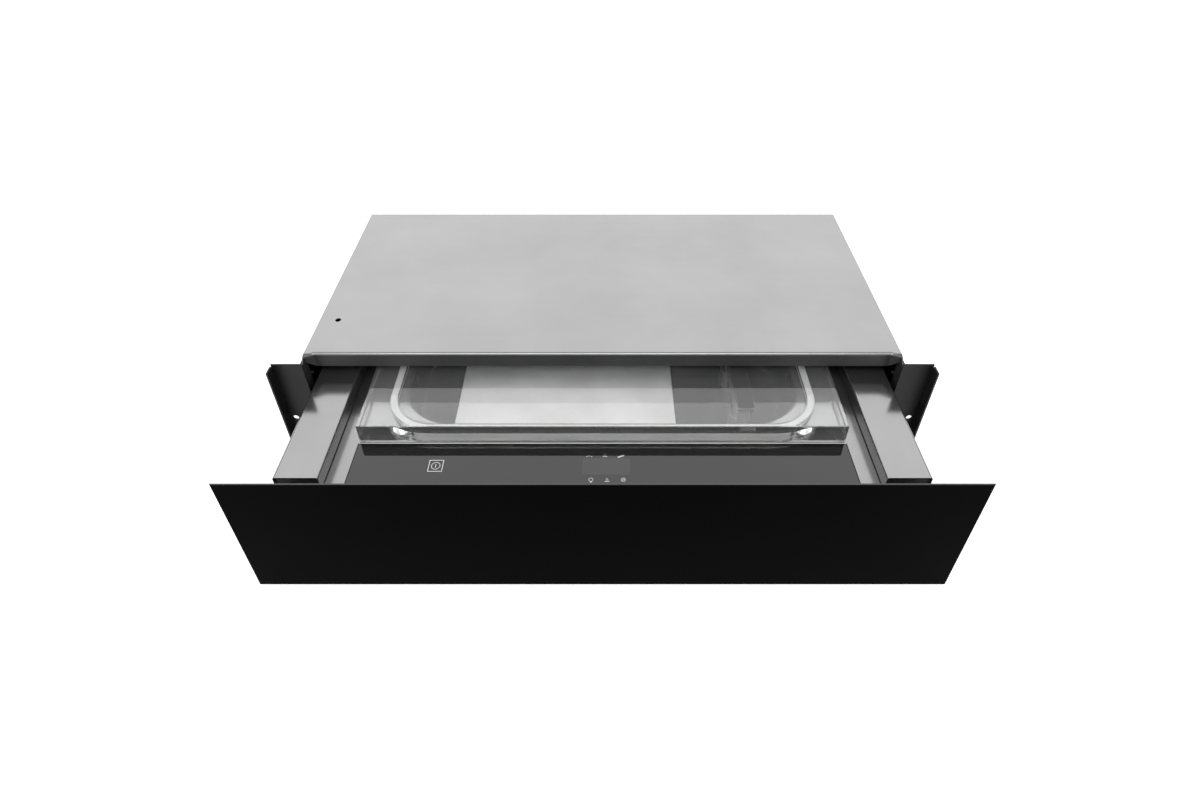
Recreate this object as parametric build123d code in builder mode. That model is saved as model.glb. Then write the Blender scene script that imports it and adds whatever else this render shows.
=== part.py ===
# Built-in vacuum sealing drawer, shown part of the way open.
# A steel housing stays in the kitchen cabinet. A drawer runs out of it on two telescopic slides
# and carries a black glass front, a stainless deck with a deep-drawn vacuum chamber, a touch
# panel, a thick clear lid on a rear hinge, a sealing bar that lifts against the lid, and the pump.
# Millimetres. +Z is up, the front faces -Y, and the origin is the middle of the housing's base.
import os
from math import atan, cos, degrees, radians, sin

from build123d import *

os.makedirs("parts", exist_ok=True)

# Housing
housing_width = 553.0
housing_height = 135.0
sheet = 1.2
fold_radius = 2.0
top_setback = 10.0
lip_height = 15.2
lip_bend = 3.0
ear_width = 9.6
ear_setback = 4.5
ear_end_height = 6.0
ear_gap = 0.2
wall_corner_cut = 5.5
hem_depth = 12.0
base_upstand = 8.0
rear_upstand = 12.0
top_hole_radius = 2.75
top_hole_from_side = 18.0
top_hole_from_lip = 49.4

# Glass front and the metal pan behind it
front_width = 595.0
front_height = 136.0
front_glass_thickness = 4.0
front_edge_chamfer = 0.5
floor_gap = 2.0
carrier_depth = 18.0
carrier_bottom = 10.0
carrier_top = 104.0

# How far the glass face stands ahead of the housing's sides, and how far it goes back from there
open_at_rest = 141.0
close_travel = 114.0
bumper_length = 8.5

# Drawer
tray_behind_hinge = 10.5
tray_bottom = 12.0
tray_flange = 8.0
deck_top = 92.4
rail_height = 15.4
rail_width = 37.3
rail_side_gap = 6.0
rail_skirt = 13.8
rail_setback = 26.3
rail_foot = 9.0
rail_bend = 1.4

# Vacuum chamber, measured back from the glass face
chamber_half_width = 181.7
chamber_front = 96.9
chamber_depth = 144.0
chamber_corner = 50.0
chamber_height = 50.0
chamber_fillet = 16.0
rim_radius = 3.2
rim_depth = 5.0
rim_wall = 4.0

# Clear lid
lid_side_margin = 33.3
lid_front_margin = 14.9
lid_back_margin = 15.1
lid_thickness = 18.5
lid_gap = 1.1
lid_corner = 2.5
lid_chamfer = 0.6
gasket_offset = 6.2
gasket_width = 6.5
gasket_height = 9.4
gasket_corner = 44.0
gasket_barbs = 5
gasket_barb_depth = 0.7
gasket_lip = 1.6
gasket_lip_wall = 1.5
gasket_clearance = 0.1
soft_gap = 0.3

# Sealing bar and the bar in the lid that it presses against
seal_from_side = 51.2
counter_width = 15.5
counter_end_margin = 14.0
counter_corner = 2.5
counter_height = 5.0
counter_proud = 0.8
seal_width = 12.0
seal_end_margin = 21.0
seal_height = 16.0
seal_lift = 4.8
heater_thickness = 0.3
piston_radius = 4.0
cylinder_radius = 9.0
cylinder_height = 20.0
cylinder_fillet = 1.5
rod_above_floor = 8.0
rod_end_gap = 2.0
piston_pitch = 62.0
fit_clearance = 0.08

# Touch panel
panel_half_width = 215.0
panel_front = 27.5
panel_to_lid_gap = 2.1
panel_glass = 4.0
panel_proud = 0.2
panel_gap = 0.4
power_key_x = -143.7
display_x = 1.5
display_width = 42.0

# Filler plate in the chamber
insert_left_margin = 38.2
insert_right_gap = 59.2
insert_end_margin = 19.5
insert_thickness = 8.0
insert_corner = 4.0
insert_chamfer = 0.8

# Lid hinge
hinge_from_lid = 10.5
hinge_height = 106.0
hinge_x = 172.0
hinge_pin_radius = 2.0
knuckle_radius = 4.2
knuckle_length = 18.0
ear_thickness = 3.0
leaf_width = 44.0
leaf_thickness = 2.0
hinge_side_gap = 0.3
bracket_base = 2.0
bracket_foot = 9.0
bracket_ahead = 2.0
bracket_from_edge = 1.0

# Telescopic slides
slide_space = 12.7
slide_setback = 14.0
slide_rear_gap = 6.0
slide_centre_height = 64.0
slide_half_height = 22.0
middle_half_height = 16.6
inner_half_height = 11.6
slide_sheet = 1.2
cage_length = 100.0
cage_sheet = 0.6
roller_length = 3.0
rollers_per_row = 4
roller_clearance = 0.1

# Mounting flanges
flange_sheet = 1.5
flange_reach = 22.5
flange_face = 132.0
flange_return = 11.7
flange_bottom = 2.0
flange_above_housing = 3.5
flange_inner_gap = 1.7
flange_leg = 66.5
flange_leg_drop = 5.0
flange_hole_radius = 2.8
flange_hole_inset = 6.0
flange_hole_height = 70.5
bend_relief = 2.5
relief_beyond_bend = 0.6

# Screws
screw_shank = 2.0
screw_head = 4.0
screw_head_height = 2.2
screw_hole = 2.1
screw_reach = 1.6
screw_head_taper = 15.0
cover_screw_setbacks = (90.0, 170.0, 240.0)
back_screw_pitch = 200.0
back_screw_inset = 5.0
flange_screw_setbacks = (14.0, 46.0)
flange_screw_heights = (24.0, 108.0)

# Pump, valve and electrics
pump_x = 225.0
pump_height = 52.0
motor_radius = 27.0
motor_length = 76.0
motor_ahead_of_middle = 18.9
shaft_radius = 2.5
fan_radius = 24.0
fan_hub_radius = 8.0
fan_width = 9.0
fan_blades = 7
fan_behind_motor = 5.0
shaft_end_gap = 1.0
head_width = 58.0
head_length = 40.0
hose_radius = 4.0
hose_bore_clearance = 0.05
hose_bend = 15.0
hose_height = 82.0
rubber_mount_radius = 6.0
rubber_mount_height = 8.0
rubber_mount_flange = 2.5
rubber_mount_waist = 1.5
vent_slot_length = 34.0
back_slot_length = 56.0
vent_slot_width = 4.0

# Derived levels and places. The housing is as deep as the closed drawer and its stops need.
drawer_depth = chamber_front + chamber_depth + lid_back_margin + hinge_from_lid + tray_behind_hinge
housing_depth = drawer_depth - open_at_rest + close_travel + soft_gap + bumper_length + sheet
housing_half = housing_width / 2
side_inner = housing_half - sheet
y_front = -housing_depth / 2
y_back = housing_depth / 2
y_face = y_front - open_at_rest
y_lip = y_front + top_setback
top_under = housing_height - sheet
tray_half = side_inner - slide_space
rail_outer = side_inner - rail_side_gap
rail_inner = rail_outer - rail_width
rail_top = deck_top + rail_height
deck_under = deck_top - sheet
y_tray_front = y_face + front_glass_thickness + carrier_depth
y_chamber_front = y_face + chamber_front
y_chamber_back = y_chamber_front + chamber_depth
y_chamber = y_chamber_front + chamber_depth / 2
chamber_floor = deck_top - chamber_height
lid_bottom = deck_top + lid_gap
lid_top = lid_bottom + lid_thickness
slide_length = housing_depth - slide_setback - slide_rear_gap
lid_half_width = chamber_half_width + lid_side_margin
y_lid_front = y_chamber_front - lid_front_margin
y_lid_back = y_chamber_back + lid_back_margin
panel_depth = y_lid_front - panel_to_lid_gap - y_face - panel_front
y_hinge = y_lid_back + hinge_from_lid
y_tray_back = y_hinge + tray_behind_hinge
seal_x = chamber_half_width - seal_from_side
seal_length = chamber_depth - 2 * seal_end_margin
counter_length = chamber_depth - 2 * counter_end_margin
counter_bottom = lid_bottom - counter_proud
counter_top = counter_bottom + counter_height
gasket_out = gasket_offset + gasket_width
gasket_bottom = deck_top + soft_gap
tray_floor = tray_bottom + sheet
half_leaf = leaf_width / 2
ear_start = knuckle_length / 2 + hinge_side_gap
bracket_half = ear_start + ear_thickness + bracket_foot
bracket_front = y_hinge - bracket_ahead
bracket_back = y_tray_back - bracket_from_edge
bracket_screw_x = bracket_half - bracket_foot / 2
bracket_screw_y = (bracket_front + bracket_back) / 2
flange_half_width = housing_half + flange_reach
flange_hole_x = flange_half_width - flange_hole_inset
flange_top = housing_height + flange_above_housing
flange_leg_top = housing_height - flange_leg_drop
flange_step_height = rail_top - rail_skirt
sides = (("left", -1), ("right", 1))


def write_piece(piece, label):
    """Name a finished piece and write it to its own file."""
    piece.label = label
    export_step(piece, f"parts/{label}.step")


def depth_plane(y):
    """A plane across the drawer at this depth; what is extruded from it runs towards the front."""
    return Plane.XZ.offset(-y)


def block(x_range, y_range, z_range, mode=Mode.ADD):
    """A rectangular block between two values along each axis."""
    lows, highs = zip(*(sorted(pair) for pair in (x_range, y_range, z_range)))
    middle = [(low + high) / 2 for low, high in zip(lows, highs)]
    lengths = [high - low for low, high in zip(lows, highs)]
    with Locations(tuple(middle)):
        Box(*lengths, mode=mode)


def chamber_outline(grow, mode=Mode.ADD):
    """The chamber's rounded plan outline, grown outwards by this much."""
    width = 2 * (chamber_half_width + grow)
    RectangleRounded(width, chamber_depth + 2 * grow, chamber_corner + grow, mode=mode)


def gasket_outline(grow, mode=Mode.ADD):
    """The plan outline of the gasket's outer face, grown outwards by this much."""
    width = 2 * (chamber_half_width + gasket_out + grow)
    depth = chamber_depth + 2 * (gasket_out + grow)
    RectangleRounded(width, depth, gasket_corner + grow, mode=mode)


def folded_strip(y_end, length, points, radius, thickness):
    """A sheet folded along a line of points in X and Z, running forward from y_end."""
    with BuildSketch(depth_plane(y_end)) as section:
        with BuildLine():
            FilletPolyline(*points, radius=radius)
        trace(line_width=thickness)
    extrude(section.sketch, amount=length)


def x_hole(x_range, y, z, radius):
    """A round hole along X."""
    low, high = sorted(x_range)
    with BuildSketch(Plane.YZ.offset(low)) as disc:
        with Locations((y, z)):
            Circle(radius)
    extrude(disc.sketch, amount=high - low, mode=Mode.SUBTRACT)


def y_rod(x, z, y_range, radius, mode=Mode.ADD):
    """A round rod, or a hole, along Y."""
    low, high = sorted(y_range)
    with BuildSketch(depth_plane(high)) as disc:
        with Locations((x, z)):
            Circle(radius)
    extrude(disc.sketch, amount=high - low, mode=mode)


def z_rod(x, y, z_range, radius, mode=Mode.ADD):
    """A round rod, or a hole, along Z."""
    low, high = sorted(z_range)
    with BuildSketch(Plane.XY.offset(low)) as disc:
        with Locations((x, y)):
            Circle(radius)
    extrude(disc.sketch, amount=high - low, mode=mode)


def pan_screw(location, direction, clamped):
    """A pan-head screw whose head sits on a surface and whose shank runs in along direction."""
    seat = Plane(origin=location, z_dir=direction)
    with BuildSketch(seat) as shank:
        Circle(screw_shank)
    extrude(shank.sketch, amount=clamped + screw_reach)
    with BuildSketch(seat) as head:
        Circle(screw_head)
    extrude(head.sketch, amount=-screw_head_height, taper=screw_head_taper)


# Housing
cover_screw_ys = [y_front + setback for setback in cover_screw_setbacks]
cover_screw_z = top_under - hem_depth / 2
back_screw_xs = (-back_screw_pitch, 0.0, back_screw_pitch)
back_screw_zs = (rear_upstand - back_screw_inset, cover_screw_z)
flange_screws = [(y_front + setback, z) for setback in flange_screw_setbacks for z in flange_screw_heights]

wall_line = housing_half - sheet / 2
with BuildPart() as housing_base:
    folded_strip(
        y_back,
        housing_depth,
        [(-wall_line, top_under), (-wall_line, sheet / 2), (wall_line, sheet / 2), (wall_line, top_under)],
        fold_radius,
        sheet,
    )
    upstand_half = side_inner - fold_radius
    block((-upstand_half, upstand_half), (y_front, y_front + sheet), (sheet, base_upstand))
    block((-upstand_half, upstand_half), (y_back - 2 * sheet, y_back - sheet), (sheet, rear_upstand))
    for side, sign in sides:
        outward = (sign * (side_inner - 1), sign * (housing_half + 1))
        for y, z in flange_screws:
            x_hole(outward, y, z, screw_hole)
        for y in cover_screw_ys:
            x_hole(outward, y, cover_screw_z, screw_hole)
        with BuildSketch(Plane.YZ.offset(min(outward))) as corner:
            with BuildLine():
                Polyline(
                    (y_front, top_under),
                    (y_front + wall_corner_cut, top_under),
                    (y_front, top_under - wall_corner_cut),
                    close=True,
                )
            make_face()
        extrude(corner.sketch, amount=max(outward) - min(outward), mode=Mode.SUBTRACT)
    for x in back_screw_xs:
        y_rod(x, back_screw_zs[0], (y_back - 4 * sheet, y_back), screw_hole, Mode.SUBTRACT)
write_piece(housing_base.part, "housing_base")

# The top sheet's front edge turns down into a lip, which sweeps forward at its two ends
lip_corner_x = housing_half - ear_width
ear_slope = ear_setback / ear_width
ear_end_x = side_inner - ear_gap
y_ear_end = y_lip - ear_slope * (ear_end_x - lip_corner_x)
y_top_corner = y_lip - ear_setback
with BuildPart() as housing_top:
    with BuildSketch(Plane.XY.offset(top_under)):
        with BuildLine():
            Polyline(
                (-housing_half, y_back),
                (-housing_half, y_top_corner),
                (-lip_corner_x, y_lip),
                (lip_corner_x, y_lip),
                (housing_half, y_top_corner),
                (housing_half, y_back),
                close=True,
            )
        make_face()
    extrude(amount=sheet)
    with BuildSketch(Plane.XY.offset(housing_height - lip_height)):
        with BuildLine():
            Polyline(
                (-ear_end_x, y_ear_end),
                (-lip_corner_x, y_lip),
                (lip_corner_x, y_lip),
                (ear_end_x, y_ear_end),
                (ear_end_x, y_ear_end + sheet),
                (lip_corner_x, y_lip + sheet),
                (-lip_corner_x, y_lip + sheet),
                (-ear_end_x, y_ear_end + sheet),
                close=True,
            )
        make_face()
    extrude(amount=lip_height - sheet)
    inner_bend = housing_top.edges().filter_by(Axis.X).filter_by_position(Axis.Z, top_under, top_under)
    fillet(inner_bend.sort_by(Axis.Y)[0], radius=lip_bend - sheet)
    front_edges = (
        housing_top.edges()
        .filter_by_position(Axis.Z, housing_height, housing_height)
        .filter_by_position(Axis.Y, y_top_corner - 0.1, y_lip + 0.1)
    )
    fillet(front_edges, radius=lip_bend)
    for side, sign in sides:
        with BuildSketch(depth_plane(y_lip + sheet)) as ear_taper:
            with BuildLine():
                Polyline(
                    (sign * lip_corner_x, housing_height - lip_height),
                    (sign * housing_half, housing_height - lip_height),
                    (sign * housing_half, housing_height - ear_end_height),
                    close=True,
                )
            make_face()
        extrude(ear_taper.sketch, amount=ear_setback + 2 * sheet, mode=Mode.SUBTRACT)
        hem_outer = sign * side_inner
        hem_inner = sign * (side_inner - sheet)
        block(
            (hem_inner, hem_outer),
            (y_lip + hem_depth, y_back - 4 * sheet),
            (top_under - hem_depth, top_under),
        )
        for y in cover_screw_ys:
            x_hole((hem_inner - sign, hem_outer + sign), y, cover_screw_z, screw_hole)
    block(
        (-side_inner + hem_depth, side_inner - hem_depth),
        (y_back - 2 * sheet, y_back - sheet),
        (top_under - hem_depth, top_under),
    )
    for x in back_screw_xs:
        y_rod(x, cover_screw_z, (y_back - 4 * sheet, y_back), screw_hole, Mode.SUBTRACT)
    z_rod(
        -housing_half + top_hole_from_side,
        y_lip + top_hole_from_lip,
        (top_under - 1, housing_height + 1),
        top_hole_radius,
        Mode.SUBTRACT,
    )
write_piece(housing_top.part, "housing_top")

gland_x = 215.0
gland_z = 30.0
gland_thread = 6.0
gland_bore = 3.5
gland_head = 9.0
gland_hexagon_length = 4.8
gland_dome_radius = 7.6
gland_dome_length = 7.2
gland_dome_taper = 18.0
gland_nut = 3.6
panel_clearance = 0.1
vent_columns = 2
vent_rows = 6
vent_pitch_x = 66.0
vent_pitch_z = 11.0
vent_centres = ((-95.0, 68.0), (95.0, 68.0))
with BuildPart() as housing_back:
    block(
        (-side_inner + panel_clearance, side_inner - panel_clearance),
        (y_back - sheet, y_back),
        (sheet + panel_clearance, top_under - panel_clearance),
    )
    fillet(housing_back.edges().filter_by(Axis.Y).group_by(Axis.Z)[0], radius=fold_radius)
    with BuildSketch(depth_plane(y_back)):
        with Locations(*vent_centres):
            with GridLocations(vent_pitch_x, vent_pitch_z, vent_columns, vent_rows):
                SlotOverall(back_slot_length, vent_slot_width)
    extrude(amount=sheet, mode=Mode.SUBTRACT)
    for x in back_screw_xs:
        for z in back_screw_zs:
            y_rod(x, z, (y_back - 2 * sheet, y_back), screw_hole, Mode.SUBTRACT)
    y_rod(gland_x, gland_z, (y_back - 2 * sheet, y_back), gland_thread + panel_clearance, Mode.SUBTRACT)
write_piece(housing_back.part, "housing_back")

with BuildPart() as cable_gland:
    y_rod(gland_x, gland_z, (y_back - sheet, y_back), gland_thread)
    with BuildSketch(depth_plane(y_back + gland_hexagon_length)):
        with Locations((gland_x, gland_z)):
            RegularPolygon(gland_head, 6)
    extrude(amount=gland_hexagon_length)
    with BuildSketch(depth_plane(y_back + gland_hexagon_length)):
        with Locations((gland_x, gland_z)):
            Circle(gland_dome_radius)
    extrude(amount=-gland_dome_length, taper=gland_dome_taper)
    with BuildSketch(depth_plane(y_back - sheet)):
        with Locations((gland_x, gland_z)):
            RegularPolygon(gland_head, 6)
    extrude(amount=gland_nut)
    y_rod(
        gland_x,
        gland_z,
        (y_back - sheet - gland_nut, y_back + gland_hexagon_length + gland_dome_length),
        gland_bore,
        Mode.SUBTRACT,
    )
write_piece(cable_gland.part, "cable_gland")

bumper_x = 150.0
bumper_z = 40.0
bumper_radius = 7.0
bumper_taper = 8.0
with BuildPart() as rear_bumpers:
    for side, sign in sides:
        with BuildSketch(depth_plane(y_back - sheet)):
            with Locations((sign * bumper_x, bumper_z)):
                Circle(bumper_radius)
        extrude(amount=bumper_length, taper=bumper_taper)
write_piece(rear_bumpers.part, "rear_bumpers")

y_plate = y_face + flange_face
for side, sign in sides:
    with BuildPart() as mounting_flange:
        with BuildSketch(depth_plane(y_plate + flange_sheet)):
            with BuildLine():
                Polyline(
                    (sign * housing_half, flange_bottom),
                    (sign * flange_half_width, flange_bottom),
                    (sign * flange_half_width, flange_top),
                    (sign * (rail_outer + flange_inner_gap), flange_top),
                    (sign * (rail_outer + flange_inner_gap), flange_step_height),
                    (sign * housing_half, flange_step_height),
                    close=True,
                )
            make_face()
            with Locations((sign * flange_hole_x, flange_hole_height)):
                Circle(flange_hole_radius, mode=Mode.SUBTRACT)
        extrude(amount=flange_sheet)
        block(
            (sign * (flange_half_width - flange_sheet), sign * flange_half_width),
            (y_plate - flange_return, y_plate),
            (flange_bottom, flange_top),
        )
        block(
            (sign * housing_half, sign * (housing_half + flange_sheet)),
            (y_plate + flange_sheet, y_plate + flange_sheet + flange_leg),
            (flange_bottom, flange_leg_top),
        )
        for low, high in (
            (flange_bottom, flange_bottom + bend_relief),
            (flange_top - bend_relief, flange_top),
        ):
            block(
                (sign * (flange_half_width - flange_sheet - relief_beyond_bend), sign * flange_half_width),
                (y_plate - bend_relief, y_plate),
                (low, high),
                Mode.SUBTRACT,
            )
        for y, z in flange_screws:
            x_hole((sign * (housing_half - 1), sign * (housing_half + flange_sheet + 1)), y, z, screw_hole)
    write_piece(mounting_flange.part, f"mounting_flange_{side}")

with BuildPart() as flange_fixings:
    for side, sign in sides:
        for y, z in flange_screws:
            pan_screw((sign * (housing_half + flange_sheet), y, z), (-sign, 0, 0), flange_sheet + sheet)
write_piece(flange_fixings.part, "flange_fixings")

with BuildPart() as housing_screws:
    for side, sign in sides:
        for y in cover_screw_ys:
            pan_screw((sign * housing_half, y, cover_screw_z), (-sign, 0, 0), 2 * sheet)
    for x in back_screw_xs:
        for z in back_screw_zs:
            pan_screw((x, y_back, z), (0, -1, 0), 2 * sheet)
write_piece(housing_screws.part, "housing_screws")

# Telescopic slides. Each side has an outer channel on the housing, a middle channel that runs
# half as far as the drawer, an inner channel on the drawer, and two cages of rollers between them.
slide_low = 5.0
slide_high = 11.0
middle_web = slide_sheet * 2
inner_lip = 5.0
inner_ahead = 6.0
cage_edge_gap = 1.0
outer_cage_gap = 0.3
inner_cage_gap = 0.4
inner_cage_ahead = 4.0
y_outer = y_front + slide_setback
y_inner_closed = y_outer - inner_ahead
y_inner = y_inner_closed - close_travel
y_middle = (y_outer + y_inner_closed) / 2 - close_travel / 2
y_cage_closed = y_outer + (slide_length - cage_length) / 2
y_cage_outer = y_cage_closed - close_travel / 4
y_cage_inner = y_cage_closed - inner_cage_ahead - close_travel * 3 / 4


def channel(sign, reach_range, half_height, web_outside, y_start, thickness):
    """A C-shaped slide member. Reach is measured inwards from the housing's side wall."""
    near, far = reach_range
    line_near = side_inner - near - thickness / 2
    line_far = side_inner - far + thickness / 2
    line_half = half_height - thickness / 2
    web_x = line_near if web_outside else line_far
    tip_x = side_inner - far if web_outside else side_inner - near
    points = [
        (sign * tip_x, slide_centre_height + line_half),
        (sign * web_x, slide_centre_height + line_half),
        (sign * web_x, slide_centre_height - line_half),
        (sign * tip_x, slide_centre_height - line_half),
    ]
    folded_strip(y_start + slide_length, slide_length, points, thickness, thickness)


def cage(sign, web_reach, row_inner, row_outer, strip_reach, y_start):
    """A cage: a thin web, a strip above and below it, and a row of rollers in each strip."""
    middle_row = (row_inner + row_outer) / 2
    web_x = side_inner - web_reach - cage_sheet / 2
    strip_low, strip_far = strip_reach
    points = [
        (sign * (side_inner - strip_far), slide_centre_height + middle_row),
        (sign * web_x, slide_centre_height + middle_row),
        (sign * web_x, slide_centre_height - middle_row),
        (sign * (side_inner - strip_far), slide_centre_height - middle_row),
    ]
    folded_strip(y_start + cage_length, cage_length, points, cage_sheet, cage_sheet)
    roller_radius = (row_outer - row_inner) / 2 - roller_clearance
    roller_x = side_inner - (strip_low + strip_far) / 2
    pitch = cage_length / rollers_per_row
    for row in (-1, 1):
        centre_z = slide_centre_height + row * middle_row
        for index in range(rollers_per_row):
            centre_y = y_start + pitch * (index + 0.5)
            start = min(sign * (roller_x - roller_length / 2), sign * (roller_x + roller_length / 2))
            with BuildSketch(Plane.YZ.offset(start)) as roller:
                with Locations((centre_y, centre_z)):
                    Circle(roller_radius)
            extrude(roller.sketch, amount=roller_length)


for side, sign in sides:
    with BuildPart() as slide_outer:
        channel(sign, (0, slide_high), slide_half_height, True, y_outer, slide_sheet)
    write_piece(slide_outer.part, f"slide_outer_{side}")

    with BuildPart() as slide_middle:
        channel(sign, (middle_web, slide_high), middle_half_height, True, y_middle, slide_sheet)
    write_piece(slide_middle.part, f"slide_middle_{side}")

    with BuildPart() as slide_inner:
        channel(sign, (inner_lip, slide_space), inner_half_height, False, y_inner, slide_sheet)
    write_piece(slide_inner.part, f"slide_inner_{side}")

    with BuildPart() as cage_outer:
        cage(
            sign,
            slide_sheet + outer_cage_gap,
            middle_half_height,
            slide_half_height - slide_sheet,
            (slide_low, slide_high - cage_edge_gap),
            y_cage_outer,
        )
    write_piece(cage_outer.part, f"slide_cage_outer_{side}")

    with BuildPart() as cage_inner:
        cage(
            sign,
            middle_web + slide_sheet + inner_cage_gap,
            inner_half_height,
            middle_half_height - slide_sheet,
            (slide_low + cage_edge_gap, slide_high - cage_edge_gap),
            y_cage_inner,
        )
    write_piece(cage_inner.part, f"slide_cage_inner_{side}")

# Drawer: front
with BuildPart() as front_glass:
    block(
        (-front_width / 2, front_width / 2),
        (y_face, y_face + front_glass_thickness),
        (floor_gap, floor_gap + front_height),
    )
    chamfer(front_glass.edges(), length=front_edge_chamfer)
write_piece(front_glass.part, "front_glass")

carrier_fold = 1.5
with BuildPart() as front_carrier:
    block(
        (-tray_half, tray_half),
        (y_face + front_glass_thickness, y_tray_front),
        (carrier_bottom, carrier_top),
    )
    fillet(front_carrier.edges().filter_by(Axis.Y), radius=fold_radius * 2)
    block(
        (-tray_half + carrier_fold, tray_half - carrier_fold),
        (y_face + front_glass_thickness + carrier_fold, y_tray_front),
        (carrier_bottom + carrier_fold, carrier_top - carrier_fold),
        Mode.SUBTRACT,
    )
write_piece(front_carrier.part, "front_carrier")

# Drawer: tray
tray_corner = 3.0
tray_vent_pitch = 9.8
floor_vent_rows = 3
rear_vent_rows = 5
with BuildPart() as drawer_tray:
    block((-tray_half, tray_half), (y_tray_front, y_tray_back), (tray_bottom, deck_under))
    fillet(drawer_tray.edges().filter_by(Axis.Z), radius=tray_corner)
    block(
        (-tray_half + sheet, tray_half - sheet),
        (y_tray_front + sheet, y_tray_back - sheet),
        (tray_floor, deck_under),
        Mode.SUBTRACT,
    )
    for side, sign in sides:
        block(
            (sign * (tray_half - tray_flange), sign * (tray_half - sheet)),
            (y_tray_front + tray_flange, y_tray_back - tray_flange),
            (deck_under - sheet, deck_under),
        )
    with BuildSketch(Plane.XY.offset(tray_bottom)):
        with Locations((pump_x, y_chamber - motor_ahead_of_middle + motor_length)):
            with GridLocations(1, tray_vent_pitch, 1, floor_vent_rows):
                SlotOverall(vent_slot_length, vent_slot_width)
    extrude(amount=sheet, mode=Mode.SUBTRACT)
    with BuildSketch(depth_plane(y_tray_back)):
        with Locations((pump_x, pump_height)):
            with GridLocations(1, tray_vent_pitch, 1, rear_vent_rows):
                SlotOverall(vent_slot_length, vent_slot_width)
    extrude(amount=sheet, mode=Mode.SUBTRACT)
write_piece(drawer_tray.part, "drawer_tray")

cap_gap = 0.15
cap_inset = 1.0
cap_depth = 9.0
y_rail_front = y_face + front_glass_thickness + rail_setback
y_rail_back = y_tray_back - tray_flange
outer_line = rail_outer - sheet / 2
inner_line = rail_inner + sheet / 2
foot_tip = rail_inner + rail_foot
for side, sign in sides:
    with BuildPart() as rail_cover:
        folded_strip(
            y_rail_back,
            y_rail_back - y_rail_front,
            [
                (sign * outer_line, rail_top - rail_skirt),
                (sign * outer_line, rail_top - sheet / 2),
                (sign * inner_line, rail_top - sheet / 2),
                (sign * inner_line, deck_top + sheet / 2),
                (sign * foot_tip, deck_top + sheet / 2),
            ],
            rail_bend,
            sheet,
        )
    write_piece(rail_cover.part, f"rail_cover_{side}")

    with BuildPart() as rail_cap:
        block(
            (sign * (rail_inner + sheet + cap_gap), sign * (rail_outer - sheet - cap_gap)),
            (y_rail_front + cap_inset, y_rail_front + cap_inset + cap_depth),
            (deck_top + sheet + cap_gap, rail_top - sheet - cap_gap),
        )
        fillet(rail_cap.edges().filter_by(Axis.Y), radius=fold_radius)
    write_piece(rail_cap.part, f"rail_cap_{side}")

# Drawer: deck with its panel cut-out and the rolled rim of the chamber
panel_cut_front = y_face + panel_front - panel_gap
panel_cut_back = y_face + panel_front + panel_depth + panel_gap
with BuildPart() as deck_plate:
    block((-tray_half, tray_half), (y_tray_front, y_tray_back), (deck_under, deck_top))
    block(
        (-panel_half_width - panel_gap, panel_half_width + panel_gap),
        (panel_cut_front, panel_cut_back),
        (deck_under, deck_top),
        Mode.SUBTRACT,
    )
    with BuildSketch(Plane.XY.offset(deck_top - rim_depth)):
        with Locations((0, y_chamber)):
            chamber_outline(rim_wall)
    extrude(amount=rim_depth)
    with BuildSketch(Plane.XY.offset(deck_top - rim_depth)):
        with Locations((0, y_chamber)):
            chamber_outline(0)
    extrude(amount=rim_depth, mode=Mode.SUBTRACT)
    chamber_edges = (
        deck_plate.edges()
        .filter_by_position(Axis.Z, deck_top - 0.01, deck_top + 0.01)
        .filter_by_position(Axis.Y, y_chamber_front - 0.5, y_chamber_back + 0.5)
        .filter_by_position(Axis.X, -chamber_half_width - 0.5, chamber_half_width + 0.5)
    )
    fillet(chamber_edges, radius=rim_radius)
    for side, sign in sides:
        for dx in (-bracket_screw_x, bracket_screw_x):
            z_rod(sign * hinge_x + dx, bracket_screw_y, (deck_under, deck_top), screw_hole, Mode.SUBTRACT)
write_piece(deck_plate.part, "deck_plate")

basin_top = deck_top - rim_depth
basin_wall = 1.2
suction_y = y_chamber
vent_y = y_chamber
fitting_radius = 5.0
fitting_below_rim = 4.0
fitting_clearance = 0.1
fitting_z = basin_top - fitting_radius - fitting_below_rim
with BuildPart() as chamber_hollow:
    with BuildSketch(Plane.XY.offset(basin_top)):
        with Locations((0, y_chamber)):
            chamber_outline(0)
    extrude(amount=chamber_floor - basin_top)
    fillet(chamber_hollow.faces().sort_by(Axis.Z)[0].edges(), radius=chamber_fillet)

with BuildPart() as chamber_basin:
    with BuildSketch(Plane.XY.offset(basin_top)):
        with Locations((0, y_chamber)):
            chamber_outline(basin_wall)
    extrude(amount=chamber_floor - basin_wall - basin_top)
    fillet(chamber_basin.faces().sort_by(Axis.Z)[0].edges(), radius=chamber_fillet + basin_wall)
    add(chamber_hollow.part, mode=Mode.SUBTRACT)
    for side, sign in sides:
        x_hole(
            (sign * (chamber_half_width - 1), sign * (chamber_half_width + basin_wall + 1)),
            suction_y,
            fitting_z,
            fitting_radius + fitting_clearance,
        )
write_piece(chamber_basin.part, "chamber_basin")

with BuildPart() as insert_plate:
    block(
        (insert_left_margin - chamber_half_width, seal_x - insert_right_gap),
        (y_chamber_front + insert_end_margin, y_chamber_back - insert_end_margin),
        (chamber_floor, chamber_floor + insert_thickness),
    )
    fillet(insert_plate.edges().filter_by(Axis.Z), radius=insert_corner)
    chamfer(insert_plate.faces().sort_by(Axis.Z)[-1].edges(), length=insert_chamfer)
write_piece(insert_plate.part, "insert_plate")

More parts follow.
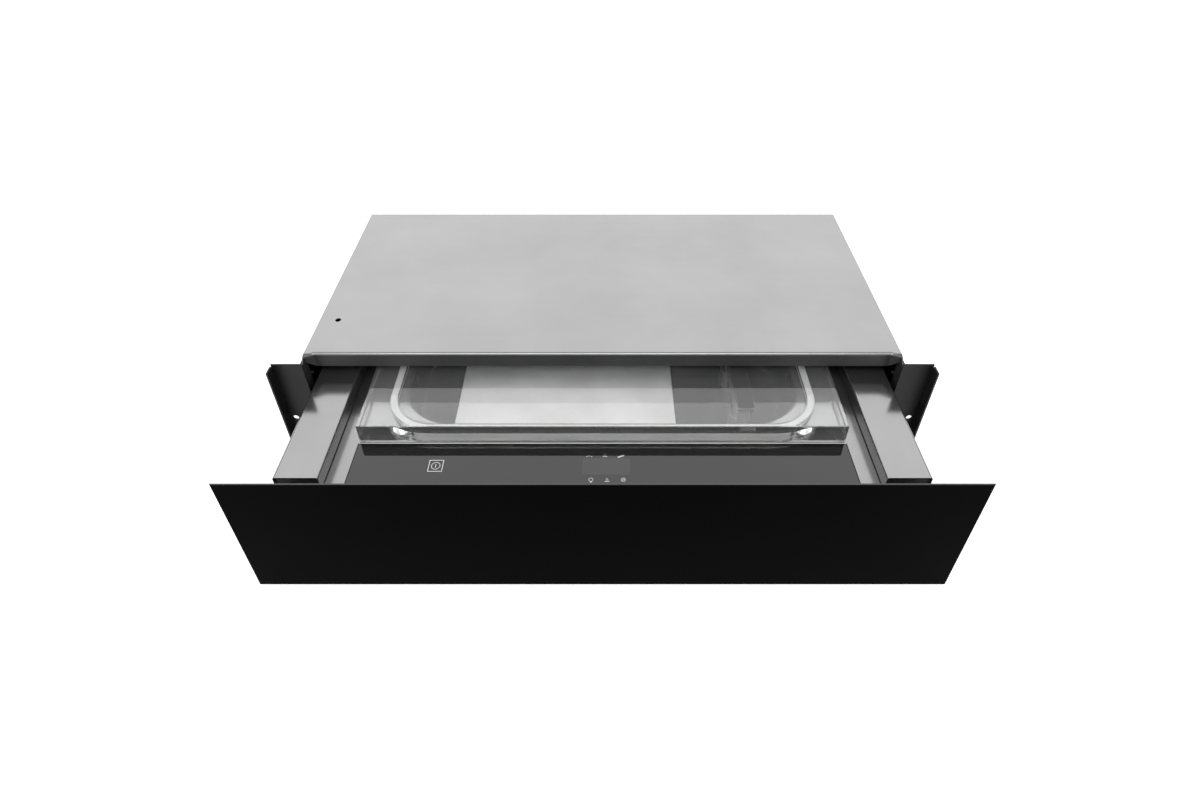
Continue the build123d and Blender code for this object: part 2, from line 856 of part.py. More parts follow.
# Drawer: touch panel
frame_depth = 9.0
frame_side = 6.0
frame_rear = 4.0
frame_ledge = 8.0
frame_fillet = 1.2
frame_gap = 0.3
glass_corner = 1.0
glass_chamfer = 0.4
board_thickness = 1.6
board_gap = 0.5
board_margin = 3.0
board_beyond_power_key = 20.0
board_beyond_display = 110.0
board_screw_inset = 4.5
board_screw_depth = 3.0
display_depth = 17.0
key_radius = 5.0
key_offsets = (-90.0, -60.0, 60.0, 90.0)
chip_from_power_key = 45.0
chip_size = 12.0
chip_height = 2.4
y_glass_front = y_face + panel_front
y_glass_back = y_glass_front + panel_depth
glass_top = deck_top + panel_proud
glass_under = glass_top - panel_glass
frame_bottom = glass_under - frame_depth
frame_outer_half = panel_half_width + frame_side
y_frame_front = y_tray_front + sheet + frame_gap
y_frame_back = panel_cut_back + frame_rear
y_board = (y_glass_front + y_glass_back) / 2
board_depth = panel_depth - 2 * board_margin
board_top = frame_bottom
board_bottom = board_top - board_thickness
board_left = power_key_x - board_beyond_power_key
board_right = display_x + board_beyond_display
board_screw_places = [
    (x, y_board + dy * (board_depth / 2 - board_screw_inset))
    for x in (board_left + board_screw_inset, board_right - board_screw_inset)
    for dy in (-1, 1)
]
with BuildPart() as control_glass:
    block(
        (-panel_half_width, panel_half_width),
        (y_glass_front, y_glass_back),
        (glass_under, glass_top),
    )
    fillet(control_glass.edges().filter_by(Axis.Z), radius=glass_corner)
    chamfer(control_glass.faces().sort_by(Axis.Z)[-1].edges(), length=glass_chamfer)
write_piece(control_glass.part, "control_glass")

with BuildPart() as control_frame:
    block((-frame_outer_half, frame_outer_half), (y_frame_front, y_frame_back), (frame_bottom, deck_under))
    block(
        (-panel_half_width - panel_gap, panel_half_width + panel_gap),
        (panel_cut_front, panel_cut_back),
        (glass_under, deck_under),
        Mode.SUBTRACT,
    )
    block(
        (-panel_half_width + frame_ledge, panel_half_width - frame_ledge),
        (panel_cut_front + frame_ledge, panel_cut_back - frame_ledge),
        (frame_bottom, glass_under),
        Mode.SUBTRACT,
    )
    fillet(control_frame.faces().sort_by(Axis.Z)[0].outer_wire().edges(), radius=frame_fillet)
    for x, y in board_screw_places:
        z_rod(x, y, (frame_bottom, frame_bottom + board_screw_depth), screw_hole, Mode.SUBTRACT)
write_piece(control_frame.part, "control_frame")

with BuildPart() as control_board:
    block(
        (board_left, board_right),
        (y_board - board_depth / 2, y_board + board_depth / 2),
        (board_bottom, board_top),
    )
    block(
        (display_x - display_width / 2, display_x + display_width / 2),
        (y_board - display_depth / 2, y_board + display_depth / 2),
        (board_top, glass_under - board_gap),
    )
    for x in [power_key_x] + [display_x + offset for offset in key_offsets]:
        z_rod(x, y_board, (board_top, glass_under - board_gap), key_radius)
    chip_x = power_key_x + chip_from_power_key
    block(
        (chip_x - chip_size / 2, chip_x + chip_size / 2),
        (y_board - chip_size / 2, y_board + chip_size / 2),
        (board_bottom - chip_height, board_bottom),
    )
    for x, y in board_screw_places:
        z_rod(x, y, (board_bottom, board_top), screw_hole, Mode.SUBTRACT)
write_piece(control_board.part, "control_board")

with BuildPart() as board_screws:
    for x, y in board_screw_places:
        pan_screw((x, y, board_bottom), (0, 0, 1), board_thickness)
write_piece(board_screws.part, "board_screws")

# Drawer: sealing bar cylinders and rods, the bar and its heater
seal_top = counter_bottom - soft_gap - heater_thickness - seal_lift
seal_bottom = seal_top - seal_height
piston_ys = (y_chamber - piston_pitch / 2, y_chamber + piston_pitch / 2)
cylinder_top = chamber_floor + cylinder_height
rod_bottom = chamber_floor + rod_above_floor
with BuildPart() as lift_cylinders:
    for y in piston_ys:
        z_rod(seal_x, y, (chamber_floor, cylinder_top), cylinder_radius)
    fillet(lift_cylinders.edges().filter_by(GeomType.CIRCLE).group_by(Axis.Z)[-1], radius=cylinder_fillet)
    for y in piston_ys:
        z_rod(
            seal_x,
            y,
            (rod_bottom - rod_end_gap, cylinder_top),
            piston_radius + fit_clearance,
            Mode.SUBTRACT,
        )
write_piece(lift_cylinders.part, "lift_cylinders")

with BuildPart() as lift_rods:
    for y in piston_ys:
        z_rod(seal_x, y, (rod_bottom, seal_bottom), piston_radius)
write_piece(lift_rods.part, "lift_rods")

heater_width = 6.0
heater_end_margin = 3.0
seal_shoulder = 1.6
seal_shoulder_drop = 4.0
seal_corner = 1.0
seal_half = seal_width / 2
with BuildPart() as seal_bar:
    with BuildSketch(depth_plane(y_chamber + seal_length / 2)):
        with BuildLine():
            Polyline(
                (seal_x - seal_half, seal_bottom),
                (seal_x + seal_half, seal_bottom),
                (seal_x + seal_half, seal_top - seal_shoulder_drop),
                (seal_x + seal_half - seal_shoulder, seal_top),
                (seal_x - seal_half + seal_shoulder, seal_top),
                (seal_x - seal_half, seal_top - seal_shoulder_drop),
                close=True,
            )
        make_face()
    extrude(amount=seal_length)
    fillet(seal_bar.edges().filter_by(Axis.Z), radius=seal_corner)
write_piece(seal_bar.part, "seal_bar")

with BuildPart() as heating_strip:
    block(
        (seal_x - heater_width / 2, seal_x + heater_width / 2),
        (y_chamber - seal_length / 2 + heater_end_margin, y_chamber + seal_length / 2 - heater_end_margin),
        (seal_top, seal_top + heater_thickness),
    )
write_piece(heating_strip.part, "heating_strip")

# Lid: clear slab, gasket, counter bar and hinge
groove_top = gasket_bottom + gasket_height + gasket_clearance
leaf_screw_xs = (-14.0, 14.0)
leaf_screw_z = lid_top - 5.0
leaf_screw_depth = 9.0
leaf_margin = 1.0
counter_fillet = 0.5
with BuildPart() as lid_slab:
    block((-lid_half_width, lid_half_width), (y_lid_front, y_lid_back), (lid_bottom, lid_top))
    fillet(lid_slab.edges().filter_by(Axis.Z), radius=lid_corner)
    chamfer(lid_slab.faces().sort_by(Axis.Z)[-1].edges(), length=lid_chamfer)
    chamfer(lid_slab.faces().sort_by(Axis.Z)[0].edges(), length=lid_chamfer)
    with BuildSketch(Plane.XY.offset(lid_bottom)):
        with Locations((0, y_chamber)):
            gasket_outline(gasket_clearance)
            gasket_outline(-gasket_width - gasket_clearance, Mode.SUBTRACT)
    extrude(amount=groove_top - lid_bottom, mode=Mode.SUBTRACT)
    with BuildSketch(Plane.XY.offset(lid_bottom)):
        with Locations((seal_x, y_chamber)):
            RectangleRounded(
                counter_width + 2 * gasket_clearance,
                counter_length + 2 * gasket_clearance,
                counter_corner + gasket_clearance,
            )
    extrude(amount=counter_top + gasket_clearance - lid_bottom, mode=Mode.SUBTRACT)
    for side, sign in sides:
        for dx in leaf_screw_xs:
            y_rod(
                sign * hinge_x + dx,
                leaf_screw_z,
                (y_lid_back - leaf_screw_depth, y_lid_back),
                screw_hole,
                Mode.SUBTRACT,
            )
write_piece(lid_slab.part, "lid_slab")

# The gasket: barbs that hold it in the groove, and a hollow between two lips at its foot
barb_pitch = gasket_height / gasket_barbs
barb_lean = degrees(atan(gasket_barb_depth / barb_pitch))


def gasket_band(low, height, near, far, lean, mode=Mode.ADD):
    """A ring round the gasket's route whose two faces lean towards each other as they rise."""
    with BuildSketch(Plane.XY.offset(low)) as outer_face:
        with Locations((0, y_chamber)):
            gasket_outline(-near)
    with BuildSketch(Plane.XY.offset(low)) as inner_face:
        with Locations((0, y_chamber)):
            gasket_outline(-far)
    with BuildPart(mode=Mode.PRIVATE) as band:
        extrude(outer_face.sketch, amount=height, taper=lean)
        extrude(inner_face.sketch, amount=height, taper=-lean, mode=Mode.SUBTRACT)
    add(band.part, mode=mode)


with BuildPart() as lid_gasket:
    for barb in range(gasket_barbs):
        gasket_band(gasket_bottom + barb * barb_pitch, barb_pitch, 0, gasket_width, barb_lean)
    gasket_band(
        gasket_bottom,
        gasket_lip,
        gasket_lip_wall,
        gasket_width - gasket_lip_wall,
        barb_lean,
        Mode.SUBTRACT,
    )
write_piece(lid_gasket.part, "lid_gasket")

with BuildPart() as counter_bar:
    with BuildSketch(Plane.XY.offset(counter_bottom)):
        with Locations((seal_x, y_chamber)):
            RectangleRounded(counter_width, counter_length, counter_corner)
    extrude(amount=counter_height)
    fillet(counter_bar.faces().sort_by(Axis.Z)[0].edges(), radius=counter_fillet)
write_piece(counter_bar.part, "counter_bar")

for side, sign in sides:
    middle = sign * hinge_x
    with BuildPart() as hinge_leaf:
        block(
            (middle - half_leaf, middle + half_leaf),
            (y_lid_back, y_lid_back + leaf_thickness),
            (lid_bottom + leaf_margin, lid_top - leaf_margin),
        )
        with BuildSketch(Plane.YZ.offset(middle - knuckle_length / 2)):
            with BuildLine():
                Polyline(
                    (y_lid_back, hinge_height - knuckle_radius),
                    (y_hinge, hinge_height - knuckle_radius),
                    (y_hinge, hinge_height + knuckle_radius),
                    (y_lid_back, hinge_height + knuckle_radius),
                    close=True,
                )
            make_face()
            with Locations((y_hinge, hinge_height)):
                Circle(knuckle_radius)
        extrude(amount=knuckle_length)
        x_hole(
            (middle - knuckle_length, middle + knuckle_length),
            y_hinge,
            hinge_height,
            hinge_pin_radius + fit_clearance,
        )
        for dx in leaf_screw_xs:
            y_rod(
                middle + dx,
                leaf_screw_z,
                (y_lid_back - 1, y_lid_back + leaf_thickness + 1),
                screw_hole,
                Mode.SUBTRACT,
            )
    write_piece(hinge_leaf.part, f"hinge_leaf_{side}")

    with BuildPart() as hinge_bracket:
        block(
            (middle - bracket_half, middle + bracket_half),
            (bracket_front, bracket_back),
            (deck_top, deck_top + bracket_base),
        )
        for x in (middle - bracket_screw_x, middle + bracket_screw_x):
            z_rod(x, bracket_screw_y, (deck_top, deck_top + bracket_base), screw_hole, Mode.SUBTRACT)
        for ear in (-1, 1):
            ear_inner = middle + ear * ear_start
            ear_outer = middle + ear * (ear_start + ear_thickness)
            with BuildSketch(Plane.YZ.offset(min(ear_inner, ear_outer))):
                with BuildLine():
                    Polyline(
                        (bracket_front, deck_top),
                        (bracket_back, deck_top),
                        (y_hinge + knuckle_radius, hinge_height),
                        (y_hinge - knuckle_radius, hinge_height),
                        close=True,
                    )
                make_face()
                with Locations((y_hinge, hinge_height)):
                    Circle(knuckle_radius)
            extrude(amount=ear_thickness)
        x_hole(
            (middle - bracket_half, middle + bracket_half),
            y_hinge,
            hinge_height,
            hinge_pin_radius + fit_clearance,
        )
    write_piece(hinge_bracket.part, f"hinge_bracket_{side}")

pin_reach = ear_start + ear_thickness + 1.0
pin_head_radius = 3.4
pin_head_thickness = 1.2
with BuildPart() as hinge_pins:
    for side, sign in sides:
        with BuildSketch(Plane.YZ.offset(sign * hinge_x - pin_reach)):
            with Locations((y_hinge, hinge_height)):
                Circle(hinge_pin_radius)
        extrude(amount=2 * pin_reach)
        with BuildSketch(Plane.YZ.offset(sign * hinge_x + pin_reach)):
            with Locations((y_hinge, hinge_height)):
                Circle(pin_head_radius)
        extrude(amount=pin_head_thickness)
write_piece(hinge_pins.part, "hinge_pins")

with BuildPart() as leaf_fixings:
    for side, sign in sides:
        for dx in leaf_screw_xs:
            pan_screw(
                (sign * hinge_x + dx, y_lid_back + leaf_thickness, leaf_screw_z),
                (0, -1, 0),
                leaf_thickness + leaf_screw_depth - 2 * screw_reach,
            )
write_piece(leaf_fixings.part, "leaf_fixings")

with BuildPart() as bracket_screws:
    for side, sign in sides:
        for dx in (-bracket_screw_x, bracket_screw_x):
            pan_screw(
                (sign * hinge_x + dx, bracket_screw_y, deck_top + bracket_base),
                (0, 0, -1),
                bracket_base + sheet,
            )
write_piece(bracket_screws.part, "bracket_screws")

# Pump on rubber mounts in the bay beside the chamber
y_motor = y_chamber - motor_ahead_of_middle
y_motor_back = y_motor + motor_length
cradle_base = tray_floor + rubber_mount_height
cradle_plate = 2.0
cradle_half = 27.0
saddle_thickness = 3.0
saddle_gap = 0.05
saddle_inset = 12.0
saddle_ys = (y_motor + saddle_inset, y_motor_back - saddle_inset)
saddle_foot_inset = 3.0
saddle_top_inset = 8.0
saddle_height = 14.8
end_bell = 6.0
bell_step = 3.0
bearing_radius = 7.5
bearing_length = 3.0
with BuildPart() as pump_motor:
    y_rod(pump_x, pump_height, (y_motor, y_motor_back), motor_radius - bell_step)
    y_rod(pump_x, pump_height, (y_motor + end_bell, y_motor_back - end_bell), motor_radius)
    y_rod(pump_x, pump_height, (y_motor_back, y_motor_back + bearing_length), bearing_radius)
    y_rod(
        pump_x,
        pump_height,
        (y_motor_back - end_bell, y_motor_back + bearing_length),
        shaft_radius + fit_clearance,
        Mode.SUBTRACT,
    )
write_piece(pump_motor.part, "pump_motor")

head_below_hose = 0.5
head_top = hose_height - hose_radius - head_below_hose
head_bottom = cradle_base + cradle_plate
head_fillet = 6.0
fin_count = 6
fin_gap = 3.2
fin_depth = 7.0
fin_end_margin = 8.0
port_x = 212.0
manifold_half_width = 8.0
manifold_depth = 26.0
manifold_setback = 6.0
nipple_radius = 2.4
with BuildPart() as pump_head:
    block(
        (pump_x - head_width / 2, pump_x + head_width / 2),
        (y_motor - head_length, y_motor),
        (head_bottom, head_top),
    )
    fillet(pump_head.edges().filter_by(Axis.Y), radius=head_fillet)
    fin_pitch = (head_top - head_bottom - 2 * fin_end_margin) / fin_count
    with BuildSketch(depth_plane(y_motor - head_length + fin_depth)):
        with Locations((pump_x, (head_top + head_bottom) / 2)):
            with GridLocations(1, fin_pitch, 1, fin_count):
                Rectangle(head_width, fin_gap)
    extrude(amount=fin_depth, mode=Mode.SUBTRACT)
    block(
        (port_x - manifold_half_width, port_x + manifold_half_width),
        (y_motor - manifold_depth - manifold_setback, y_motor - manifold_setback),
        (head_top, hose_height + hose_radius),
    )
    y_rod(port_x, hose_height, (y_motor - manifold_setback, y_motor), nipple_radius)
write_piece(pump_head.part, "pump_head")

with BuildPart() as pump_cradle:
    block(
        (pump_x - cradle_half, pump_x + cradle_half),
        (y_motor - head_length, y_motor_back - bell_step),
        (cradle_base, cradle_base + cradle_plate),
    )
    for y in saddle_ys:
        with BuildSketch(depth_plane(y + saddle_thickness / 2)):
            with BuildLine():
                Polyline(
                    (pump_x - cradle_half + saddle_foot_inset, cradle_base + cradle_plate),
                    (pump_x + cradle_half - saddle_foot_inset, cradle_base + cradle_plate),
                    (pump_x + cradle_half - saddle_top_inset, pump_height - saddle_height),
                    (pump_x - cradle_half + saddle_top_inset, pump_height - saddle_height),
                    close=True,
                )
            make_face()
            with Locations((pump_x, pump_height)):
                Circle(motor_radius + saddle_gap, mode=Mode.SUBTRACT)
        extrude(amount=saddle_thickness)
write_piece(pump_cradle.part, "pump_cradle")

mount_side_inset = 7.0
mount_front_inset = 10.0
with BuildPart() as pump_mounts:
    for x in (pump_x - cradle_half + mount_side_inset, pump_x + cradle_half - mount_side_inset):
        for y in (y_motor - head_length + mount_front_inset, y_motor_back - saddle_inset):
            z_rod(x, y, (tray_floor, tray_floor + rubber_mount_flange), rubber_mount_radius)
            z_rod(x, y, (tray_floor, cradle_base), rubber_mount_radius - rubber_mount_waist)
            z_rod(x, y, (cradle_base - rubber_mount_flange, cradle_base), rubber_mount_radius)
write_piece(pump_mounts.part, "pump_mounts")

fan_y = y_motor_back + fan_behind_motor
with BuildPart() as motor_shaft:
    y_rod(
        pump_x,
        pump_height,
        (y_motor_back - end_bell + shaft_end_gap, fan_y + fan_width + shaft_end_gap),
        shaft_radius,
    )
write_piece(motor_shaft.part, "motor_shaft")

blade_thickness = 1.4
blade_angle = 34.0
blade_width = 8.7
blade_root = 1.0
fan_bore_clearance = 0.02
with BuildPart() as fan_rotor:
    y_rod(pump_x, pump_height, (fan_y, fan_y + fan_width), fan_hub_radius)
    for index in range(fan_blades):
        turn = 360 / fan_blades * index
        outward = Vector(cos(radians(turn)), 0, sin(radians(turn)))
        root = Vector(pump_x, fan_y + fan_width / 2, pump_height) + outward * (fan_hub_radius - blade_root)
        across = Vector(0, 1, 0).rotate(Axis((0, 0, 0), tuple(outward)), blade_angle)
        with BuildSketch(Plane(origin=root, x_dir=across, z_dir=outward)):
            Rectangle(blade_width, blade_thickness)
        extrude(amount=fan_radius - fan_hub_radius + blade_root)
    y_rod(
        pump_x,
        pump_height,
        (fan_y, fan_y + fan_width),
        shaft_radius + fan_bore_clearance,
        Mode.SUBTRACT,
    )
write_piece(fan_rotor.part, "fan_rotor")

fitting_reach = 6.0
fitting_block = 2.0
fitting_block_half = 7.0
fitting_block_gap = 0.5
fitting_nipple_length = 4.0
fitting_end = chamber_half_width + basin_wall + fitting_reach
with BuildPart() as suction_fitting:
    with BuildSketch(Plane.YZ.offset(chamber_half_width)):
        with Locations((suction_y, fitting_z)):
            Circle(fitting_radius)
    extrude(amount=fitting_end - chamber_half_width)
    block(
        (chamber_half_width + basin_wall, fitting_end + fitting_block),
        (suction_y - fitting_block_half, suction_y + fitting_block_half),
        (fitting_z - fitting_block_half, basin_top - fitting_block_gap),
    )
    with BuildSketch(Plane.YZ.offset(fitting_end + fitting_block)):
        with Locations((suction_y, hose_height)):
            Circle(nipple_radius)
    extrude(amount=fitting_nipple_length)
write_piece(suction_fitting.part, "suction_fitting")

hose_start = fitting_end + fitting_block + soft_gap
with BuildPart() as suction_hose:
    with BuildLine() as hose_path:
        FilletPolyline(
            (hose_start, suction_y, hose_height),
            (port_x, suction_y, hose_height),
            (port_x, y_motor - manifold_setback + soft_gap, hose_height),
            radius=hose_bend,
        )
    with BuildSketch(Plane(origin=(hose_start, suction_y, hose_height), z_dir=(1, 0, 0))):
        Circle(hose_radius)
        Circle(nipple_radius + hose_bore_clearance, mode=Mode.SUBTRACT)
    sweep(path=hose_path.line)
write_piece(suction_hose.part, "suction_hose")

# Vent valve, transformer and power board in the other bay
valve_x = -(chamber_half_width + basin_wall)
valve_depth = 16.0
valve_half_width = 10.0
valve_top = 9.0
coil_drop = 1.0
coil_radius = 8.5
coil_length = 24.0
with BuildPart() as vent_valve:
    with BuildSketch(Plane.YZ.offset(-chamber_half_width)):
        with Locations((vent_y, fitting_z)):
            Circle(fitting_radius)
    extrude(amount=-basin_wall)
    block(
        (valve_x - valve_depth, valve_x),
        (vent_y - valve_half_width, vent_y + valve_half_width),
        (fitting_z - valve_half_width, fitting_z + valve_top),
    )
    with BuildSketch(Plane.YZ.offset(valve_x - valve_depth)):
        with Locations((vent_y, fitting_z - coil_drop)):
            Circle(coil_radius)
    extrude(amount=-coil_length)
write_piece(vent_valve.part, "vent_valve")

transformer_x = -225.0
transformer_y = y_chamber - 50.9
core_width = 54.0
core_depth = 24.0
core_height = 46.0
window_inner = 9.2
window_outer = 18.2
window_inset = 9.0
winding_gap = 0.3
winding_reach = 8.0
winding_corner = 7.0
with BuildPart() as transformer_core:
    block(
        (transformer_x - core_width / 2, transformer_x + core_width / 2),
        (transformer_y - core_depth / 2, transformer_y + core_depth / 2),
        (tray_floor, tray_floor + core_height),
    )
    for window in (-1, 1):
        block(
            (transformer_x + window * window_inner, transformer_x + window * window_outer),
            (transformer_y - core_depth / 2, transformer_y + core_depth / 2),
            (tray_floor + window_inset, tray_floor + core_height - window_inset),
            Mode.SUBTRACT,
        )
write_piece(transformer_core.part, "transformer_core")

winding_levels = (
    tray_floor + window_inset + winding_gap,
    tray_floor + core_height - window_inset - winding_gap,
)
winding_outer = window_outer - winding_gap
winding_inner = window_inner + winding_gap
winding_end = core_depth / 2 + winding_reach
winding_hole = core_depth / 2 + winding_gap
with BuildPart() as transformer_coil:
    block(
        (transformer_x - winding_outer, transformer_x + winding_outer),
        (transformer_y - winding_end, transformer_y + winding_end),
        winding_levels,
    )
    fillet(transformer_coil.edges().filter_by(Axis.Z), radius=winding_corner)
    block(
        (transformer_x - winding_inner, transformer_x + winding_inner),
        (transformer_y - winding_hole, transformer_y + winding_hole),
        winding_levels,
        Mode.SUBTRACT,
    )
write_piece(transformer_coil.part, "transformer_coil")

# Power board: its posts, capacitors as (x, y, radius, height) and relays as (x, y, width, depth, height)
power_x = -227.0
power_y = y_chamber + 53.1
power_width = 60.0
power_depth = 68.0
post_height = 6.0
post_radius = 3.0
post_inset = 5.0
capacitors = ((-19.0, -16.0, 6.0, 22.0), (-3.0, -16.0, 6.0, 22.0), (13.0, -18.0, 5.0, 16.0))
relays = ((-14.0, 12.0, 18.0, 20.0, 15.4), (12.0, 13.0, 18.0, 18.0, 12.4))
power_bottom = tray_floor + post_height
power_top = power_bottom + board_thickness
with BuildPart() as power_board:
    block(
        (power_x - power_width / 2, power_x + power_width / 2),
        (power_y - power_depth / 2, power_y + power_depth / 2),
        (power_bottom, power_top),
    )
    for dx in (post_inset - power_width / 2, power_width / 2 - post_inset):
        for dy in (post_inset - power_depth / 2, power_depth / 2 - post_inset):
            z_rod(power_x + dx, power_y + dy, (tray_floor, power_bottom), post_radius)
    for dx, dy, radius, height in capacitors:
        z_rod(power_x + dx, power_y + dy, (power_top, power_top + height), radius)
    for dx, dy, width, depth, height in relays:
        block(
            (power_x + dx - width / 2, power_x + dx + width / 2),
            (power_y + dy - depth / 2, power_y + dy + depth / 2),
            (power_top, power_top + height),
        )
write_piece(power_board.part, "power_board")
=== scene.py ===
from math import cos, pi, radians, sin

import bmesh
import bpy
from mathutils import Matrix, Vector


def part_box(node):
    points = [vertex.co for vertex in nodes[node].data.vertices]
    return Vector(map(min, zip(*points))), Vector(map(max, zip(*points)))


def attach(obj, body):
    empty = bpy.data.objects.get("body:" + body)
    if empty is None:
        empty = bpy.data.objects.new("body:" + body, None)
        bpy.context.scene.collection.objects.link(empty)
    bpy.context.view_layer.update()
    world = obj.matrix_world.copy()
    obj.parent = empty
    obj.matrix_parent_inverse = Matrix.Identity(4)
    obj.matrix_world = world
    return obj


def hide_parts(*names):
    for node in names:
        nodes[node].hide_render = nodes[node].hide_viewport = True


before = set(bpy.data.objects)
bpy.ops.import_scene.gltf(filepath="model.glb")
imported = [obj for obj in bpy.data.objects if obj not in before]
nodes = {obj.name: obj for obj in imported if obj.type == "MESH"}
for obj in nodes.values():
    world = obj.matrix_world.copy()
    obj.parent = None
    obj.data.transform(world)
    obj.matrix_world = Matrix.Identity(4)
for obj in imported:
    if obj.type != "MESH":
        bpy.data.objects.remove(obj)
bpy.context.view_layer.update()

MM = 0.001
MICRON = 0.000001


# Shader nodes

NOISE_LOW = 0.3
NOISE_HIGH = 0.7


def new_material(name):
    """A node material with a Principled shader: (material, node tree, shader)."""
    material = bpy.data.materials.new(name)
    material.use_nodes = True
    tree = material.node_tree
    shader = tree.nodes["Principled BSDF"]
    return material, tree, shader


def object_coordinates(tree, scale=(1, 1, 1)):
    """Object coordinates through a mapping, so that a pattern keeps its real size."""
    source = tree.nodes.new("ShaderNodeTexCoord")
    mapping = tree.nodes.new("ShaderNodeMapping")
    mapping.inputs["Scale"].default_value = scale
    tree.links.new(source.outputs["Object"], mapping.inputs["Vector"])
    return mapping.outputs["Vector"]


def noise(tree, vector, scale, detail=3.0, roughness=0.5):
    """A noise texture's value; scale is in cells per metre."""
    node = tree.nodes.new("ShaderNodeTexNoise")
    node.inputs["Scale"].default_value = scale
    node.inputs["Detail"].default_value = detail
    node.inputs["Roughness"].default_value = roughness
    tree.links.new(vector, node.inputs["Vector"])
    return node.outputs["Fac"]


def remap(tree, value, low, high, source_low=NOISE_LOW, source_high=NOISE_HIGH):
    """A value spread from one range to another; the range of a noise unless another is given."""
    node = tree.nodes.new("ShaderNodeMapRange")
    node.inputs["From Min"].default_value = source_low
    node.inputs["From Max"].default_value = source_high
    node.inputs["To Min"].default_value = low
    node.inputs["To Max"].default_value = high
    tree.links.new(value, node.inputs["Value"])
    return node.outputs["Result"]


def maths(tree, operation, first, second):
    """The result of one operation on two values."""
    node = tree.nodes.new("ShaderNodeMath")
    node.operation = operation
    tree.links.new(first, node.inputs[0])
    tree.links.new(second, node.inputs[1])
    return node.outputs[0]


def two_colours(tree, value, dark, light):
    """A colour between two, by a value from 0 to 1."""
    node = tree.nodes.new("ShaderNodeMix")
    node.data_type = "RGBA"
    node.inputs["A"].default_value = (*dark, 1)
    node.inputs["B"].default_value = (*light, 1)
    tree.links.new(value, node.inputs["Factor"])
    return node.outputs["Result"]


def bump(tree, shader, height, distance, strength):
    """Bump from a height value, with the real depth of the texture in metres."""
    node = tree.nodes.new("ShaderNodeBump")
    node.inputs["Distance"].default_value = distance
    node.inputs["Strength"].default_value = strength
    tree.links.new(height, node.inputs["Height"])
    tree.links.new(node.outputs["Normal"], shader.inputs["Normal"])


def grey(level):
    return (level, level, level)


def shaded(colour, factor):
    """A colour made darker or lighter."""
    return tuple(min(1.0, channel * factor) for channel in colour)


def cloud_colour(tree, shader, clouds, colour, darkest, lightest):
    """Lets the base colour drift with a noise between two shades of one colour."""
    share = remap(tree, clouds, 0.0, 1.0)
    drifting = two_colours(tree, share, shaded(colour, darkest), shaded(colour, lightest))
    tree.links.new(drifting, shader.inputs["Base Color"])


# Kinds of material

GRAIN_ALONG = 6
GRAIN_ACROSS = 900


def steel(
    name, level, roughness, spread=0.03, grain_scale=1.0, grain_depth=MICRON,
    grain_axis="X", metallic=1.0,
):
    """Satin sheet steel: soft clouds in its tone, and fine rolling lines along one axis."""
    material, tree, shader = new_material(name)
    shader.inputs["Metallic"].default_value = metallic
    clouds = noise(tree, object_coordinates(tree), 9.0, detail=4.0, roughness=0.55)
    cloud_colour(tree, shader, clouds, grey(level), 0.94, 1.05)
    stretch = [GRAIN_ALONG if axis == grain_axis else GRAIN_ACROSS for axis in "XYZ"]
    lines = noise(tree, object_coordinates(tree, stretch), grain_scale, detail=2.0, roughness=0.6)
    rough = remap(tree, lines, roughness - spread, roughness + spread)
    tree.links.new(rough, shader.inputs["Roughness"])
    bump(tree, shader, lines, grain_depth, strength=0.6)
    return material


def plastic(name, colour, roughness, grain_depth=20 * MICRON, grain_scale=2500.0, specular=0.5):
    """Moulded plastic or paint with a fine even grain."""
    material, tree, shader = new_material(name)
    vector = object_coordinates(tree)
    grain = noise(tree, vector, grain_scale, detail=2.0)
    wear = noise(tree, vector, 25.0)
    cloud_colour(tree, shader, wear, colour, 0.9, 1.12)
    rough = remap(tree, wear, roughness - 0.04, roughness + 0.06)
    tree.links.new(rough, shader.inputs["Roughness"])
    shader.inputs["Specular IOR Level"].default_value = specular
    bump(tree, shader, grain, grain_depth, strength=0.5)
    return material


def black_glass(name, level, specular=0.5, roughness=0.03):
    """Black-backed glass: a nearly black body under a smooth surface with a faint haze."""
    material, tree, shader = new_material(name)
    haze = noise(tree, object_coordinates(tree), 14.0, detail=4.0)
    cloud_colour(tree, shader, haze, grey(level), 0.85, 1.15)
    rough = remap(tree, haze, roughness, roughness + 0.02)
    tree.links.new(rough, shader.inputs["Roughness"])
    shader.inputs["Specular IOR Level"].default_value = specular
    return material


def silicone(name, colour, roughness, transmission):
    """Soft silicone with a faintly uneven tone; how much light passes is its transmission."""
    material, tree, shader = new_material(name)
    vector = object_coordinates(tree)
    milk = noise(tree, vector, 180.0)
    cloud_colour(tree, shader, milk, colour, 0.93, 1.0)
    rough = remap(tree, milk, roughness, roughness + 0.1)
    tree.links.new(rough, shader.inputs["Roughness"])
    shader.inputs["Transmission Weight"].default_value = transmission
    shader.inputs["IOR"].default_value = 1.41
    bump(tree, shader, noise(tree, vector, 900.0, detail=2.0), 30 * MICRON, strength=0.4)
    return material


def clear_slab(name, tint):
    """Clear acrylic or glass with polished faces and the faintest clouds in its tint."""
    material, tree, shader = new_material(name)
    clouds = noise(tree, object_coordinates(tree), 6.0, detail=1.0)
    cloud_colour(tree, shader, clouds, tint, 0.99, 1.0)
    shader.inputs["Transmission Weight"].default_value = 0.97
    shader.inputs["IOR"].default_value = 1.49
    shader.inputs["Roughness"].default_value = 0.0
    return material


# Materials

